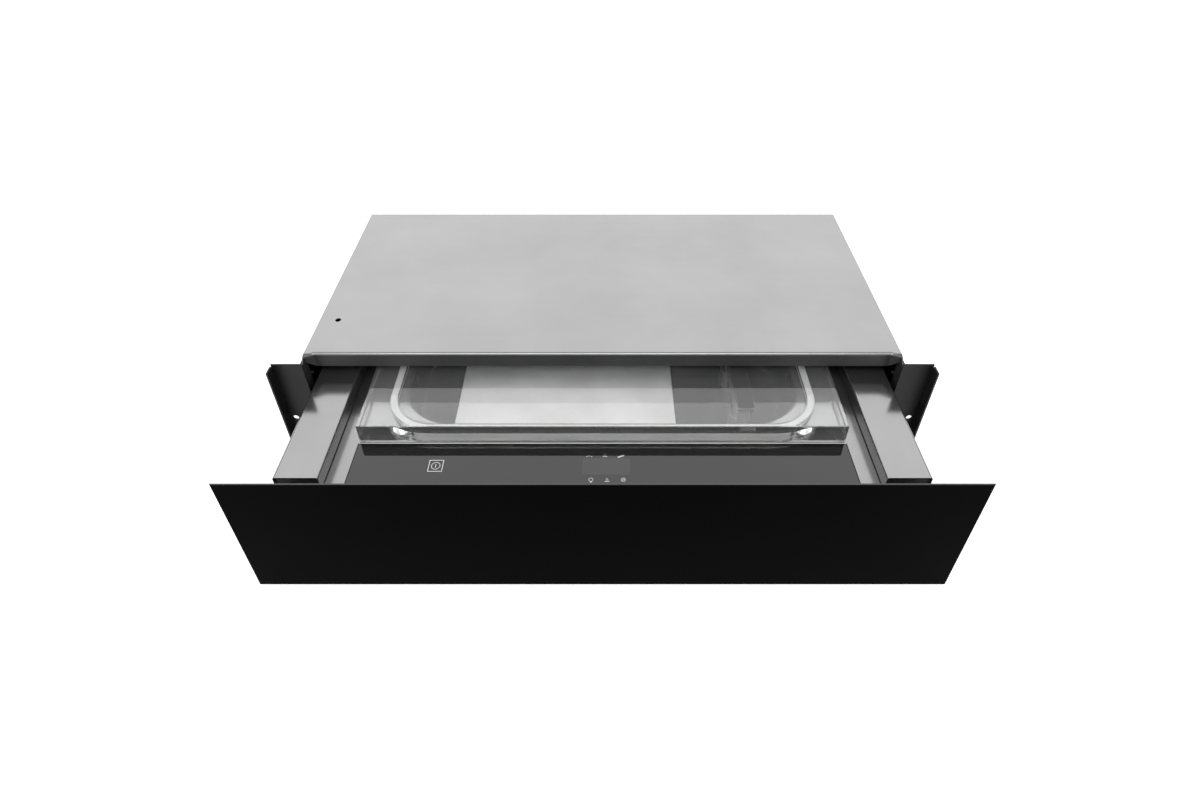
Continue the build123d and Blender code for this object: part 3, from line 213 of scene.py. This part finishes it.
# Levels, roughness and reflection are fitted to the photograph's tones under this scene's lamps,
# so several are darker or duller than the real material would be.
STEELS = {
    "housing_sheet": dict(level=0.24, roughness=0.25, spread=0.02, grain_depth=1.5 * MICRON),
    "deck_steel": dict(level=0.228, roughness=0.2, metallic=0.86),
    "rail_steel": dict(level=0.232, roughness=0.17, grain_depth=2 * MICRON, grain_axis="Y", metallic=0.86),
    "chamber_steel": dict(level=0.32, roughness=0.22, grain_axis="Z"),
    "galvanised": dict(level=0.42, roughness=0.42, spread=0.06, grain_scale=0.4, grain_depth=20 * MICRON),
    "zinc": dict(level=0.36, roughness=0.32, spread=0.05, grain_scale=2.0, grain_depth=10 * MICRON),
    "aluminium": dict(level=0.4, roughness=0.45, spread=0.05, grain_scale=2.0, grain_depth=10 * MICRON),
    "cylinder_grey": dict(level=0.16, roughness=0.5, spread=0.04, grain_scale=2.0, grain_depth=10 * MICRON),
    "black_zinc": dict(level=0.05, roughness=0.4, spread=0.05, grain_scale=2.0, grain_depth=10 * MICRON),
    "silver_ink": dict(level=0.42, roughness=0.16),
    "bead_steel": dict(level=0.3, roughness=0.2),
}

PLASTICS = {
    "powder_black": dict(
        colour=(0.011, 0.011, 0.0115),
        roughness=0.42,
        grain_depth=30 * MICRON,
        grain_scale=1800.0,
        specular=0.25,
    ),
    "black_plastic": dict(colour=(0.015, 0.015, 0.0155), roughness=0.45),
    "black_rubber": dict(
        colour=(0.02, 0.02, 0.02), roughness=0.7, grain_depth=40 * MICRON, grain_scale=1500.0
    ),
    "white_plate": dict(
        colour=(0.74, 0.74, 0.735), roughness=0.38, grain_depth=10 * MICRON, grain_scale=1200.0
    ),
    "circuit_green": dict(
        colour=(0.02, 0.11, 0.05), roughness=0.35, grain_depth=40 * MICRON, grain_scale=700.0
    ),
    "heater_tape": dict(
        colour=(0.22, 0.15, 0.09), roughness=0.5, grain_depth=60 * MICRON, grain_scale=900.0
    ),
    "motor_grey": dict(colour=(0.09, 0.09, 0.095), roughness=0.4),
    "core_brown": dict(
        colour=(0.10, 0.085, 0.075), roughness=0.5, grain_depth=50 * MICRON, grain_scale=600.0
    ),
    "copper": dict(
        colour=(0.42, 0.2, 0.09), roughness=0.4, grain_depth=50 * MICRON, grain_scale=500.0
    ),
}

BLACK_GLASSES = {
    "front_black": dict(level=0.0011, specular=0.008),
    "panel_black": dict(level=0.004),
    "display_tint": dict(level=0.022),
    "glass_edge": dict(level=0.03, roughness=0.12),
}

SILICONES = {
    "gasket_clear": dict(colour=(0.52, 0.52, 0.515), roughness=0.3, transmission=0.12),
    "counter_grey": dict(colour=(0.022, 0.022, 0.0225), roughness=0.5, transmission=0.0),
}

CLEAR_SLABS = {
    "lid_clear": dict(tint=(0.985, 0.99, 0.988)),
}

MATERIALS = {
    name: kind(name, **look)
    for kind, looks in (
        (steel, STEELS),
        (plastic, PLASTICS),
        (black_glass, BLACK_GLASSES),
        (silicone, SILICONES),
        (clear_slab, CLEAR_SLABS),
    )
    for name, look in looks.items()
}


# The housing's front lip

LIP_SETBACK = 10.0 * MM
# Share of the sheet's colour kept on the lip's face: a painted dark reflection
LIP_PAINTED_DARKENING = 0.47
LIP_DULLING = 0.3
FADE_GAP = 0.05 * MM
FADE_LENGTH = 0.6 * MM
lip_face_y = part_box("housing_base")[0].y + LIP_SETBACK


def dress_lip():
    """Paints a dark reflection into the sheet's colour as far back as the lip's face, dulls it there, and
    fades both out behind it.

    The photograph's lip is much darker than the top sheet, probably because it slopes and
    mirrors the dark front. The solid's lip stands nearly upright, so this painted reflection stands in for
    that.
    """
    tree = MATERIALS["housing_sheet"].node_tree
    shader = tree.nodes["Principled BSDF"]
    colour = shader.inputs["Base Color"].links[0].from_socket
    rough = shader.inputs["Roughness"].links[0].from_socket
    place = tree.nodes.new("ShaderNodeSeparateXYZ")
    tree.links.new(object_coordinates(tree), place.inputs["Vector"])
    depth = place.outputs["Y"]
    fade_y = lip_face_y + FADE_GAP
    fade = (fade_y, fade_y + FADE_LENGTH)
    # Painted dark reflection: the sheet's colour is scaled down on the lip's face
    painted_shade = tree.nodes.new("ShaderNodeVectorMath")
    painted_shade.operation = "SCALE"
    tree.links.new(colour, painted_shade.inputs[0])
    tree.links.new(remap(tree, depth, LIP_PAINTED_DARKENING, 1.0, *fade), painted_shade.inputs["Scale"])
    tree.links.new(painted_shade.outputs["Vector"], shader.inputs["Base Color"])
    dulled = maths(tree, "ADD", rough, remap(tree, depth, LIP_DULLING, 0.0, *fade))
    tree.links.new(dulled, shader.inputs["Roughness"])


# The CAD nodes' materials

FINISH = {
    "housing_top": "housing_sheet",
    "housing_base": "housing_sheet",
    "housing_back": "housing_sheet",
    "deck_plate": "deck_steel",
    "chamber_basin": "chamber_steel",
    "rail_cover_left": "rail_steel",
    "rail_cover_right": "rail_steel",
    "drawer_tray": "galvanised",
    "front_glass": "front_black",
    "control_glass": "panel_black",
    "lid_slab": "lid_clear",
    "lid_gasket": "gasket_clear",
    "counter_bar": "counter_grey",
    "front_carrier": "powder_black",
    "mounting_flange_left": "powder_black",
    "mounting_flange_right": "powder_black",
    "flange_fixings": "black_zinc",
    "rail_cap_left": "black_plastic",
    "rail_cap_right": "black_plastic",
    "control_frame": "black_plastic",
    "cable_gland": "black_plastic",
    "vent_valve": "black_plastic",
    "fan_rotor": "black_plastic",
    "suction_fitting": "black_plastic",
    "rear_bumpers": "black_rubber",
    "pump_mounts": "black_rubber",
    "suction_hose": "black_rubber",
    "insert_plate": "white_plate",
    "control_board": "circuit_green",
    "power_board": "circuit_green",
    "heating_strip": "heater_tape",
    "seal_bar": "aluminium",
    "pump_head": "aluminium",
    "pump_motor": "motor_grey",
    "lift_cylinders": "cylinder_grey",
    "transformer_core": "core_brown",
    "transformer_coil": "copper",
}


def dress_nodes():
    """Gives each CAD node its material; what has none in the list is zinc-plated steel."""
    for name, node in nodes.items():
        node.data.materials.clear()
        node.data.materials.append(MATERIALS[FINISH.get(name, "zinc")])


# Meshes

SHARP_ANGLE = radians(25)
CIRCLE_POINTS = 32
SMALL_CORNER_STEPS = 6
LARGE_CORNER_STEPS = 24


def mesh_piece(name, build, material, body, smooth=False):
    """A new piece from a function that fills a bmesh; it rides on a CAD body."""
    mesh = bpy.data.meshes.new(name)
    shape = bmesh.new()
    build(shape)
    bmesh.ops.recalc_face_normals(shape, faces=shape.faces)
    shape.to_mesh(mesh)
    shape.free()
    if smooth:
        mesh.shade_smooth()
        mesh.set_sharp_from_angle(angle=SHARP_ANGLE)
    piece = bpy.data.objects.new(name, mesh)
    piece.data.materials.append(MATERIALS[material])
    bpy.context.scene.collection.objects.link(piece)
    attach(piece, body)
    return piece


def loft(shape, rings, closed=False):
    """Skin over rings of equally many (x, y, z) points; its ends are capped unless it closes up."""
    loops = [[shape.verts.new(point) for point in ring] for ring in rings]
    pairs = list(zip(loops, loops[1:]))
    if closed:
        pairs.append((loops[-1], loops[0]))
    for low, high in pairs:
        for i in range(len(low)):
            j = (i + 1) % len(low)
            shape.faces.new((low[i], low[j], high[j], high[i]))
    if not closed:
        shape.faces.new(loops[0])
        shape.faces.new(loops[-1])


def along_x(shape, profile, x_low, x_high, soft):
    """A bar with one cross-section of (y, z) points, its two ends slightly rounded off."""
    middle_y = sum(y for y, _ in profile) / len(profile)
    middle_z = sum(z for _, z in profile) / len(profile)
    rings = []
    for x, inset in ((x_low, soft), (x_low + soft, 0.0), (x_high - soft, 0.0), (x_high, soft)):
        ring = []
        for y, z in profile:
            inwards_y = min(inset, abs(y - middle_y)) * (1 if y < middle_y else -1)
            inwards_z = min(inset, abs(z - middle_z)) * (1 if z < middle_z else -1)
            ring.append((x, y + inwards_y, z + inwards_z))
        rings.append(ring)
    loft(shape, rings)


def rounded(x, y, width, depth, radius, steps=SMALL_CORNER_STEPS):
    """Points round a rectangle with round corners, anticlockwise: 4 * (steps + 1) of them."""
    points = []
    for corner, (sx, sy) in enumerate(((1, -1), (1, 1), (-1, 1), (-1, -1))):
        cx = x + sx * (width / 2 - radius)
        cy = y + sy * (depth / 2 - radius)
        for step in range(steps + 1):
            angle = (corner - 1 + step / steps) * pi / 2
            points.append((cx + radius * cos(angle), cy + radius * sin(angle)))
    return points


def at_height(points, z):
    return [(x, y, z) for x, y in points]


def grown(low, high, grow, corner, steps=LARGE_CORNER_STEPS):
    """The outline of a box in plan, moved outwards all round, and its corners with it."""
    middle = (low + high) / 2
    size = high - low
    return rounded(middle.x, middle.y, size.x + 2 * grow, size.y + 2 * grow, corner + grow, steps)


def circle(x, y, radius):
    angles = [2 * pi * i / CIRCLE_POINTS for i in range(CIRCLE_POINTS)]
    return [(x + radius * cos(angle), y + radius * sin(angle)) for angle in angles]


def rectangle(x, y, width, depth):
    return [
        (x - width / 2, y - depth / 2),
        (x + width / 2, y - depth / 2),
        (x + width / 2, y + depth / 2),
        (x - width / 2, y + depth / 2),
    ]


# Touch panel symbols

pane_low, pane_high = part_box("front_glass")
panel_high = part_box("control_glass")[1]
INK = 0.03 * MM

# Places in mm: across from the panel's middle, and back from the front glass's face
POWER_PLACE = (-142.4, 55.4)
DISPLAY_PLACE = (3.0, 54.6)
NEAR_ROW = 40.6
FAR_ROW = 65.9


def on_panel(across, back):
    """A place on the panel in metres."""
    return across * MM, pane_low.y + back * MM


def film(shape, outline, hole=None):
    """A film of ink half sunk into the panel's face: an outline of (x, y) points, maybe with a hole."""
    rings = [outline, hole] if hole else [outline]
    levels = [
        [[shape.verts.new((x, y, z)) for x, y in ring] for ring in rings]
        for z in (panel_high.z - INK, panel_high.z + INK)
    ]
    for loops in levels:
        edges = []
        for loop in loops:
            edges += [shape.edges.new((a, b)) for a, b in zip(loop, loop[1:] + loop[:1])]
        bmesh.ops.triangle_fill(shape, use_beauty=True, edges=edges)
    for low, high in zip(*levels):
        for i in range(len(low)):
            j = (i + 1) % len(low)
            shape.faces.new((low[i], low[j], high[j], high[i]))


def stroke_ring(shape, x, y, radius, width):
    film(shape, circle(x, y, radius), circle(x, y, radius - width))


def stroke_bar(shape, x, y, width, depth):
    film(shape, rectangle(x, y, width, depth))


def stroke_line(shape, start, end, width):
    """A straight stroke between two points."""
    x0, y0 = start
    x1, y1 = end
    length = ((x1 - x0) ** 2 + (y1 - y0) ** 2) ** 0.5
    nx = (y0 - y1) / length * width / 2
    ny = (x1 - x0) / length * width / 2
    film(shape, [(x0 + nx, y0 + ny), (x0 - nx, y0 - ny), (x1 - nx, y1 - ny), (x1 + nx, y1 + ny)])


def power_symbol(shape):
    """A square frame with a ring and an upright bar in it."""
    x, y = on_panel(*POWER_PLACE)
    side, line = 12.4 * MM, 0.5 * MM
    inner = side - 2 * line
    film(shape, rectangle(x, y, side, side), rectangle(x, y, inner, inner))
    stroke_ring(shape, x, y, radius=3.85 * MM, width=0.4 * MM)
    stroke_bar(shape, x, y, width=0.45 * MM, depth=3.6 * MM)


def bag_symbol(shape, x, y):
    """A round bag with a short solid neck towards the front."""
    stroke_ring(shape, x, y, radius=1.9 * MM, width=0.32 * MM)
    stroke_bar(shape, x, y - 2.3 * MM, width=1.6 * MM, depth=0.7 * MM)


def level_symbol(shape, x, y):
    """A pile that narrows upwards on a wide foot."""
    for back, width, depth in ((-1.7, 3.9, 0.5), (-0.2, 2.6, 0.35), (1.1, 1.4, 0.35)):
        stroke_bar(shape, x, y + back * MM, width * MM, depth * MM)


def seal_symbol(shape, x, y):
    """A ring with a slanted stroke across it."""
    stroke_ring(shape, x, y, radius=1.9 * MM, width=0.35 * MM)
    across, back = 1.2 * MM, 1.0 * MM
    stroke_line(shape, (x - across, y - back), (x + across, y + back), width=0.38 * MM)


def dots_symbol(shape, x, y):
    """Three dots along a shallow arc."""
    for across, back in ((-2.0, -0.5), (0.0, 0.3), (2.0, -0.5)):
        stroke_bar(shape, x + across * MM, y + back * MM, width=0.9 * MM, depth=0.7 * MM)


def small_symbols(shape):
    """Three signs in the row near the front, and two signs and a slanted stroke behind."""
    for across, draw in ((-9.7, bag_symbol), (3.8, level_symbol), (17.4, seal_symbol)):
        draw(shape, *on_panel(across, NEAR_ROW))
    dots_symbol(shape, *on_panel(-11.5, FAR_ROW))
    level_symbol(shape, *on_panel(2.2, FAR_ROW + 1.2))
    slant = on_panel(13.2, FAR_ROW - 1.2), on_panel(18.6, FAR_ROW + 0.8)
    stroke_line(shape, *slant, width=1.3 * MM)


def display_window(shape):
    """The display's slightly lighter field in the black panel."""
    x, y = on_panel(*DISPLAY_PLACE)
    film(shape, rounded(x, y, width=40.4 * MM, depth=17.6 * MM, radius=1.0 * MM))


# Front glass

PANE_SOFT = 0.4 * MM
GRIP_DROP = 5.6 * MM
LINE_WIDTH = 1.0 * MM
LINE_HEIGHT = 0.5 * MM
LINE_SOFT = 0.2 * MM


def front_pane(shape):
    """The pane, its top edge ground away at the back as a finger grip.

    The grip is a guess: the photograph shows only a thin line there, and no thickness of glass.
    """
    face, back, foot, top = pane_low.y, pane_high.y, pane_low.z, pane_high.z
    profile = [
        (face + PANE_SOFT, foot),
        (back - PANE_SOFT, foot),
        (back, foot + PANE_SOFT),
        (back, top - GRIP_DROP),
        (face + LINE_WIDTH + LINE_SOFT, top - LINE_HEIGHT),
        (face, top - LINE_HEIGHT),
        (face, foot + PANE_SOFT),
    ]
    along_x(shape, profile, pane_low.x, pane_high.x, PANE_SOFT)


def pane_edge(shape):
    """The polished line along the top of the pane's face."""
    face, top = pane_low.y, pane_high.z
    profile = [
        (face, top - LINE_HEIGHT),
        (face + LINE_WIDTH + LINE_SOFT, top - LINE_HEIGHT),
        (face + LINE_WIDTH, top),
        (face + LINE_SOFT, top),
    ]
    along_x(shape, profile, pane_low.x, pane_high.x, LINE_SOFT)


# Gasket and counter bar

gasket_low, gasket_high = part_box("lid_gasket")
bar_low, bar_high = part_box("counter_bar")
GASKET_WIDTH = 6.5 * MM
GASKET_CORNER = 44.0 * MM
GROOVE_GAP = 0.1 * MM
PRESS = 0.05 * MM

BARBS = 5
GRIPPING_BARBS = 2
BARB_DEPTH = 0.9 * MM
# Where a barb is widest, from and to, and where its neck is, as shares of its pitch
BARB_START = 0.12
BARB_END = 0.42
BARB_NECK = 0.9
SEAL_WALL = 1.5 * MM
SEAL_HEIGHT = 1.6 * MM

COUNTER_CORNER = 2.5 * MM
COUNTER_SOFT = 0.5 * MM
# How far in a round edge still is halfway through its turn, as a share of its radius
HALF_TURN = 0.3


def gasket_profile():
    """Cross-section as (outward, z): barbs on both sides, and two sealing lips at the foot."""
    foot = gasket_low.z
    pitch = (gasket_high.z - foot) / BARBS
    outer = [(0.0, foot)]
    for barb in range(BARBS):
        z = foot + barb * pitch
        reach = GROOVE_GAP + PRESS if 0 < barb <= GRIPPING_BARBS else 0.0
        if barb:
            outer.append((reach, z + BARB_START * pitch))
        outer.append((reach, z + BARB_END * pitch))
        outer.append((-BARB_DEPTH, z + BARB_NECK * pitch))
    outer[-1] = (-BARB_DEPTH, gasket_high.z)
    inner = [(-GASKET_WIDTH - outward, z) for outward, z in reversed(outer)]
    hollow = [
        (SEAL_WALL - GASKET_WIDTH, foot),
        (SEAL_WALL - GASKET_WIDTH, foot + SEAL_HEIGHT),
        (-SEAL_WALL, foot + SEAL_HEIGHT),
        (-SEAL_WALL, foot),
    ]
    return outer + inner + hollow


def gasket_ring(shape):
    """The gasket; only its gripping barbs touch the lid's groove, with a film of air round the rest."""
    rings = [
        at_height(grown(gasket_low, gasket_high, outward, GASKET_CORNER), z)
        for outward, z in gasket_profile()
    ]
    loft(shape, rings, closed=True)


def counter_block(shape):
    """A bar with soft edges whose top is bonded into its pocket."""
    foot, top = bar_low.z, bar_high.z
    soft = COUNTER_SOFT
    rings = []
    for inset, z in (
        (soft, foot),
        (HALF_TURN * soft, foot + HALF_TURN * soft),
        (0.0, foot + soft),
        (0.0, top - soft),
        (HALF_TURN * soft, top - HALF_TURN * soft),
        (soft, top),
        (soft, top + GROOVE_GAP + PRESS),
    ):
        outline = grown(bar_low, bar_high, -inset, COUNTER_CORNER, SMALL_CORNER_STEPS)
        rings.append(at_height(outline, z))
    loft(shape, rings)


# Lid

slab_low, slab_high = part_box("lid_slab")
SLAB_EDGE = 1.5 * MM
SLAB_CORNER = 2.5 * MM
EDGE_STEPS = 6
FLAT_WEIGHT = 100


def slab_ring(inset, z):
    """The slab's outline at one height, drawn in where its edge is round."""
    return at_height(grown(slab_low, slab_high, -inset, SLAB_CORNER), z)


def clear_lid(shape):
    """One skin from the pocket's ceiling over the groove and the round edges to the top face."""
    foot, top = slab_low.z, slab_high.z
    groove_top = gasket_high.z + GROOVE_GAP
    pocket = grown(bar_low, bar_high, GROOVE_GAP, COUNTER_CORNER)
    groove_in = grown(gasket_low, gasket_high, -GASKET_WIDTH - GROOVE_GAP, GASKET_CORNER)
    groove_out = grown(gasket_low, gasket_high, GROOVE_GAP, GASKET_CORNER)
    rings = [
        at_height(pocket, bar_high.z + GROOVE_GAP),
        at_height(pocket, foot),
        at_height(groove_in, foot),
        at_height(groove_in, groove_top),
        at_height(groove_out, groove_top),
        at_height(groove_out, foot),
    ]
    turns = [step / EDGE_STEPS * pi / 2 for step in range(EDGE_STEPS + 1)]
    for turn in turns:
        rings.append(slab_ring(SLAB_EDGE * (1 - sin(turn)), foot + SLAB_EDGE * (1 - cos(turn))))
    for turn in turns:
        rings.append(slab_ring(SLAB_EDGE * (1 - cos(turn)), top - SLAB_EDGE * (1 - sin(turn))))
    loft(shape, rings)


def make_lid():
    """The clear slab, its flat faces kept flat beside the round edges.

    Its shadow is off, because Cycles would let hardly any lamp light through it.
    """
    slab = mesh_piece("clear_slab", clear_lid, "lid_clear", "lid", smooth=True)
    slab.visible_shadow = False
    flat = slab.modifiers.new("flat_faces", "WEIGHTED_NORMAL")
    flat.keep_sharp = True
    flat.weight = FLAT_WEIGHT
    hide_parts("lid_slab")


# Bead in front of the lid

BEAD_HEIGHT = 0.6 * MM
BEAD_SINK = 0.2 * MM
BEAD_FRONT_GAP = 0.2 * MM
BEAD_BACK_GAP = 0.1 * MM
BEAD_SOFT = 0.1 * MM
BEAD_STEPS = 8


def lid_bead(shape):
    """A low bead on the deck, guessed from one bright line in the photograph."""
    front = panel_high.y + BEAD_FRONT_GAP
    back = slab_low.y - BEAD_BACK_GAP
    deck_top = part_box("deck_plate")[1].z
    half = (back - front) / 2
    profile = [(front, deck_top - BEAD_SINK)]
    for step in range(BEAD_STEPS + 1):
        turn = pi - step / BEAD_STEPS * pi
        profile.append((front + half + half * cos(turn), deck_top + BEAD_HEIGHT * sin(turn)))
    profile.append((back, deck_top - BEAD_SINK))
    along_x(shape, profile, slab_low.x, slab_high.x, BEAD_SOFT)


# Camera

# In the photograph's pixels: its size, the focal length and the point that the camera faces
IMAGE_WIDTH = 1200
IMAGE_HEIGHT = 800
FOCAL_LENGTH = 724.0
FACED_X = 602.5
FACED_Y = 295.8

SENSOR_MM = 36.0
CAMERA_PLACE = (0, -0.6201, 0.5821)
DEGREES_DOWN = 37.22


def make_camera():
    """The photograph's own view, found from its vanishing lines."""
    data = bpy.data.cameras.new("camera")
    data.sensor_width = SENSOR_MM
    data.lens = FOCAL_LENGTH * SENSOR_MM / IMAGE_WIDTH
    data.shift_x = (IMAGE_WIDTH / 2 - FACED_X) / IMAGE_WIDTH
    data.shift_y = (FACED_Y - IMAGE_HEIGHT / 2) / IMAGE_WIDTH
    camera = bpy.data.objects.new("camera", data)
    camera.location = CAMERA_PLACE
    camera.rotation_euler = (radians(90 - DEGREES_DOWN), 0, 0)
    bpy.context.scene.collection.objects.link(camera)
    bpy.context.scene.camera = camera


# Room

WHITE = (1, 1, 1, 1)
FLOOR_HALF = 6.0
FLOOR_DARK = 0.80
FLOOR_LIGHT = 0.82
FLOOR_GLOW = 0.64
ROOM_LIGHT = 0.5


def seen_ray(tree):
    """1 for camera, glossy and transmission rays, 0 for the rays that light the object."""
    path = tree.nodes.new("ShaderNodeLightPath").outputs
    first = maths(tree, "MAXIMUM", path["Is Camera Ray"], path["Is Glossy Ray"])
    return maths(tree, "MAXIMUM", first, path["Is Transmission Ray"])


def floor_material():
    """Pale paint whose glow lifts it to white where it is seen; shadows still darken it."""
    material, tree, shader = new_material("floor_white")
    speckle = noise(tree, object_coordinates(tree), 40.0)
    tone = two_colours(tree, speckle, grey(FLOOR_DARK), grey(FLOOR_LIGHT))
    tree.links.new(tone, shader.inputs["Base Color"])
    shader.inputs["Roughness"].default_value = 0.9
    shader.inputs["Specular IOR Level"].default_value = 0.1
    shader.inputs["Emission Color"].default_value = WHITE
    glow = remap(tree, seen_ray(tree), 0.0, FLOOR_GLOW, 0.0, 1.0)
    tree.links.new(glow, shader.inputs["Emission Strength"])
    return material


def make_floor():
    mesh = bpy.data.meshes.new("floor")
    corners = rectangle(0, 0, 2 * FLOOR_HALF, 2 * FLOOR_HALF)
    mesh.from_pydata(at_height(corners, 0), [], [(0, 1, 2, 3)])
    floor = bpy.data.objects.new("floor", mesh)
    bpy.context.scene.collection.objects.link(floor)
    mesh.materials.append(floor_material())


def make_world():
    """White where it is seen, and a lower even light elsewhere."""
    world = bpy.data.worlds.new("world")
    world.use_nodes = True
    tree = world.node_tree
    background = tree.nodes["Background"]
    background.inputs["Color"].default_value = WHITE
    strength = remap(tree, seen_ray(tree), ROOM_LIGHT, 1.0, 0.0, 1.0)
    tree.links.new(strength, background.inputs["Strength"])
    bpy.context.scene.world = world


# Lamps

LAMP_TARGET = Vector((0, 0, 0.08))
LAMP_DISTANCE = 2.6
SIDE_LAMP_PLACE = (2.2, -0.6, 1.5)


def softbox(name, place, width, height, radiance):
    """A rectangular lamp that faces the object; radiance is what a mirror would show of it."""
    data = bpy.data.lights.new(name, "AREA")
    data.shape = "RECTANGLE"
    data.size = width
    data.size_y = height
    data.energy = 4 * radiance * width * height
    lamp = bpy.data.objects.new(name, data)
    lamp.location = place
    towards = LAMP_TARGET - Vector(place)
    lamp.rotation_euler = towards.to_track_quat("-Z", "Y").to_euler()
    lamp.visible_camera = False
    bpy.context.scene.collection.objects.link(lamp)


def overhead(elevation, azimuth):
    """A place over the object, in degrees; azimuth 0 is straight in front and 180 behind."""
    flat = LAMP_DISTANCE * cos(radians(elevation))
    turn = radians(azimuth)
    return flat * sin(turn), -flat * cos(turn), LAMP_DISTANCE * sin(radians(elevation))


def make_lamps():
    softbox("softbox_back", overhead(44, 180), width=3.8, height=1.9, radiance=1.0)
    softbox("softbox_front", overhead(57, 0), width=2.2, height=0.9, radiance=3.2)
    x, y, z = SIDE_LAMP_PLACE
    softbox("softbox_right", (x, y, z), width=1.2, height=1.2, radiance=0.8)
    softbox("softbox_left", (-x, y, z), width=1.2, height=1.2, radiance=1.2)


# The scene

dress_lip()
dress_nodes()
mesh_piece("power_symbol", power_symbol, "silver_ink", "drawer")
mesh_piece("panel_symbols", small_symbols, "silver_ink", "drawer")
mesh_piece("display_window", display_window, "display_tint", "drawer")
pane = mesh_piece("front_pane", front_pane, "front_black", "drawer")
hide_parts("front_glass")
mesh_piece("pane_edge", pane_edge, "glass_edge", "drawer")
make_lid()
mesh_piece("lid_bead", lid_bead, "bead_steel", "drawer", smooth=True)
gasket = mesh_piece(
    "gasket_ring", gasket_ring, "gasket_clear", "lid", smooth=True
)
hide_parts("lid_gasket")
counter = mesh_piece(
    "counter_block", counter_block, "counter_grey", "lid", smooth=True
)
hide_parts("counter_bar")
make_camera()
make_floor()
bpy.context.scene.view_settings.view_transform = "Standard"
make_world()
make_lamps()
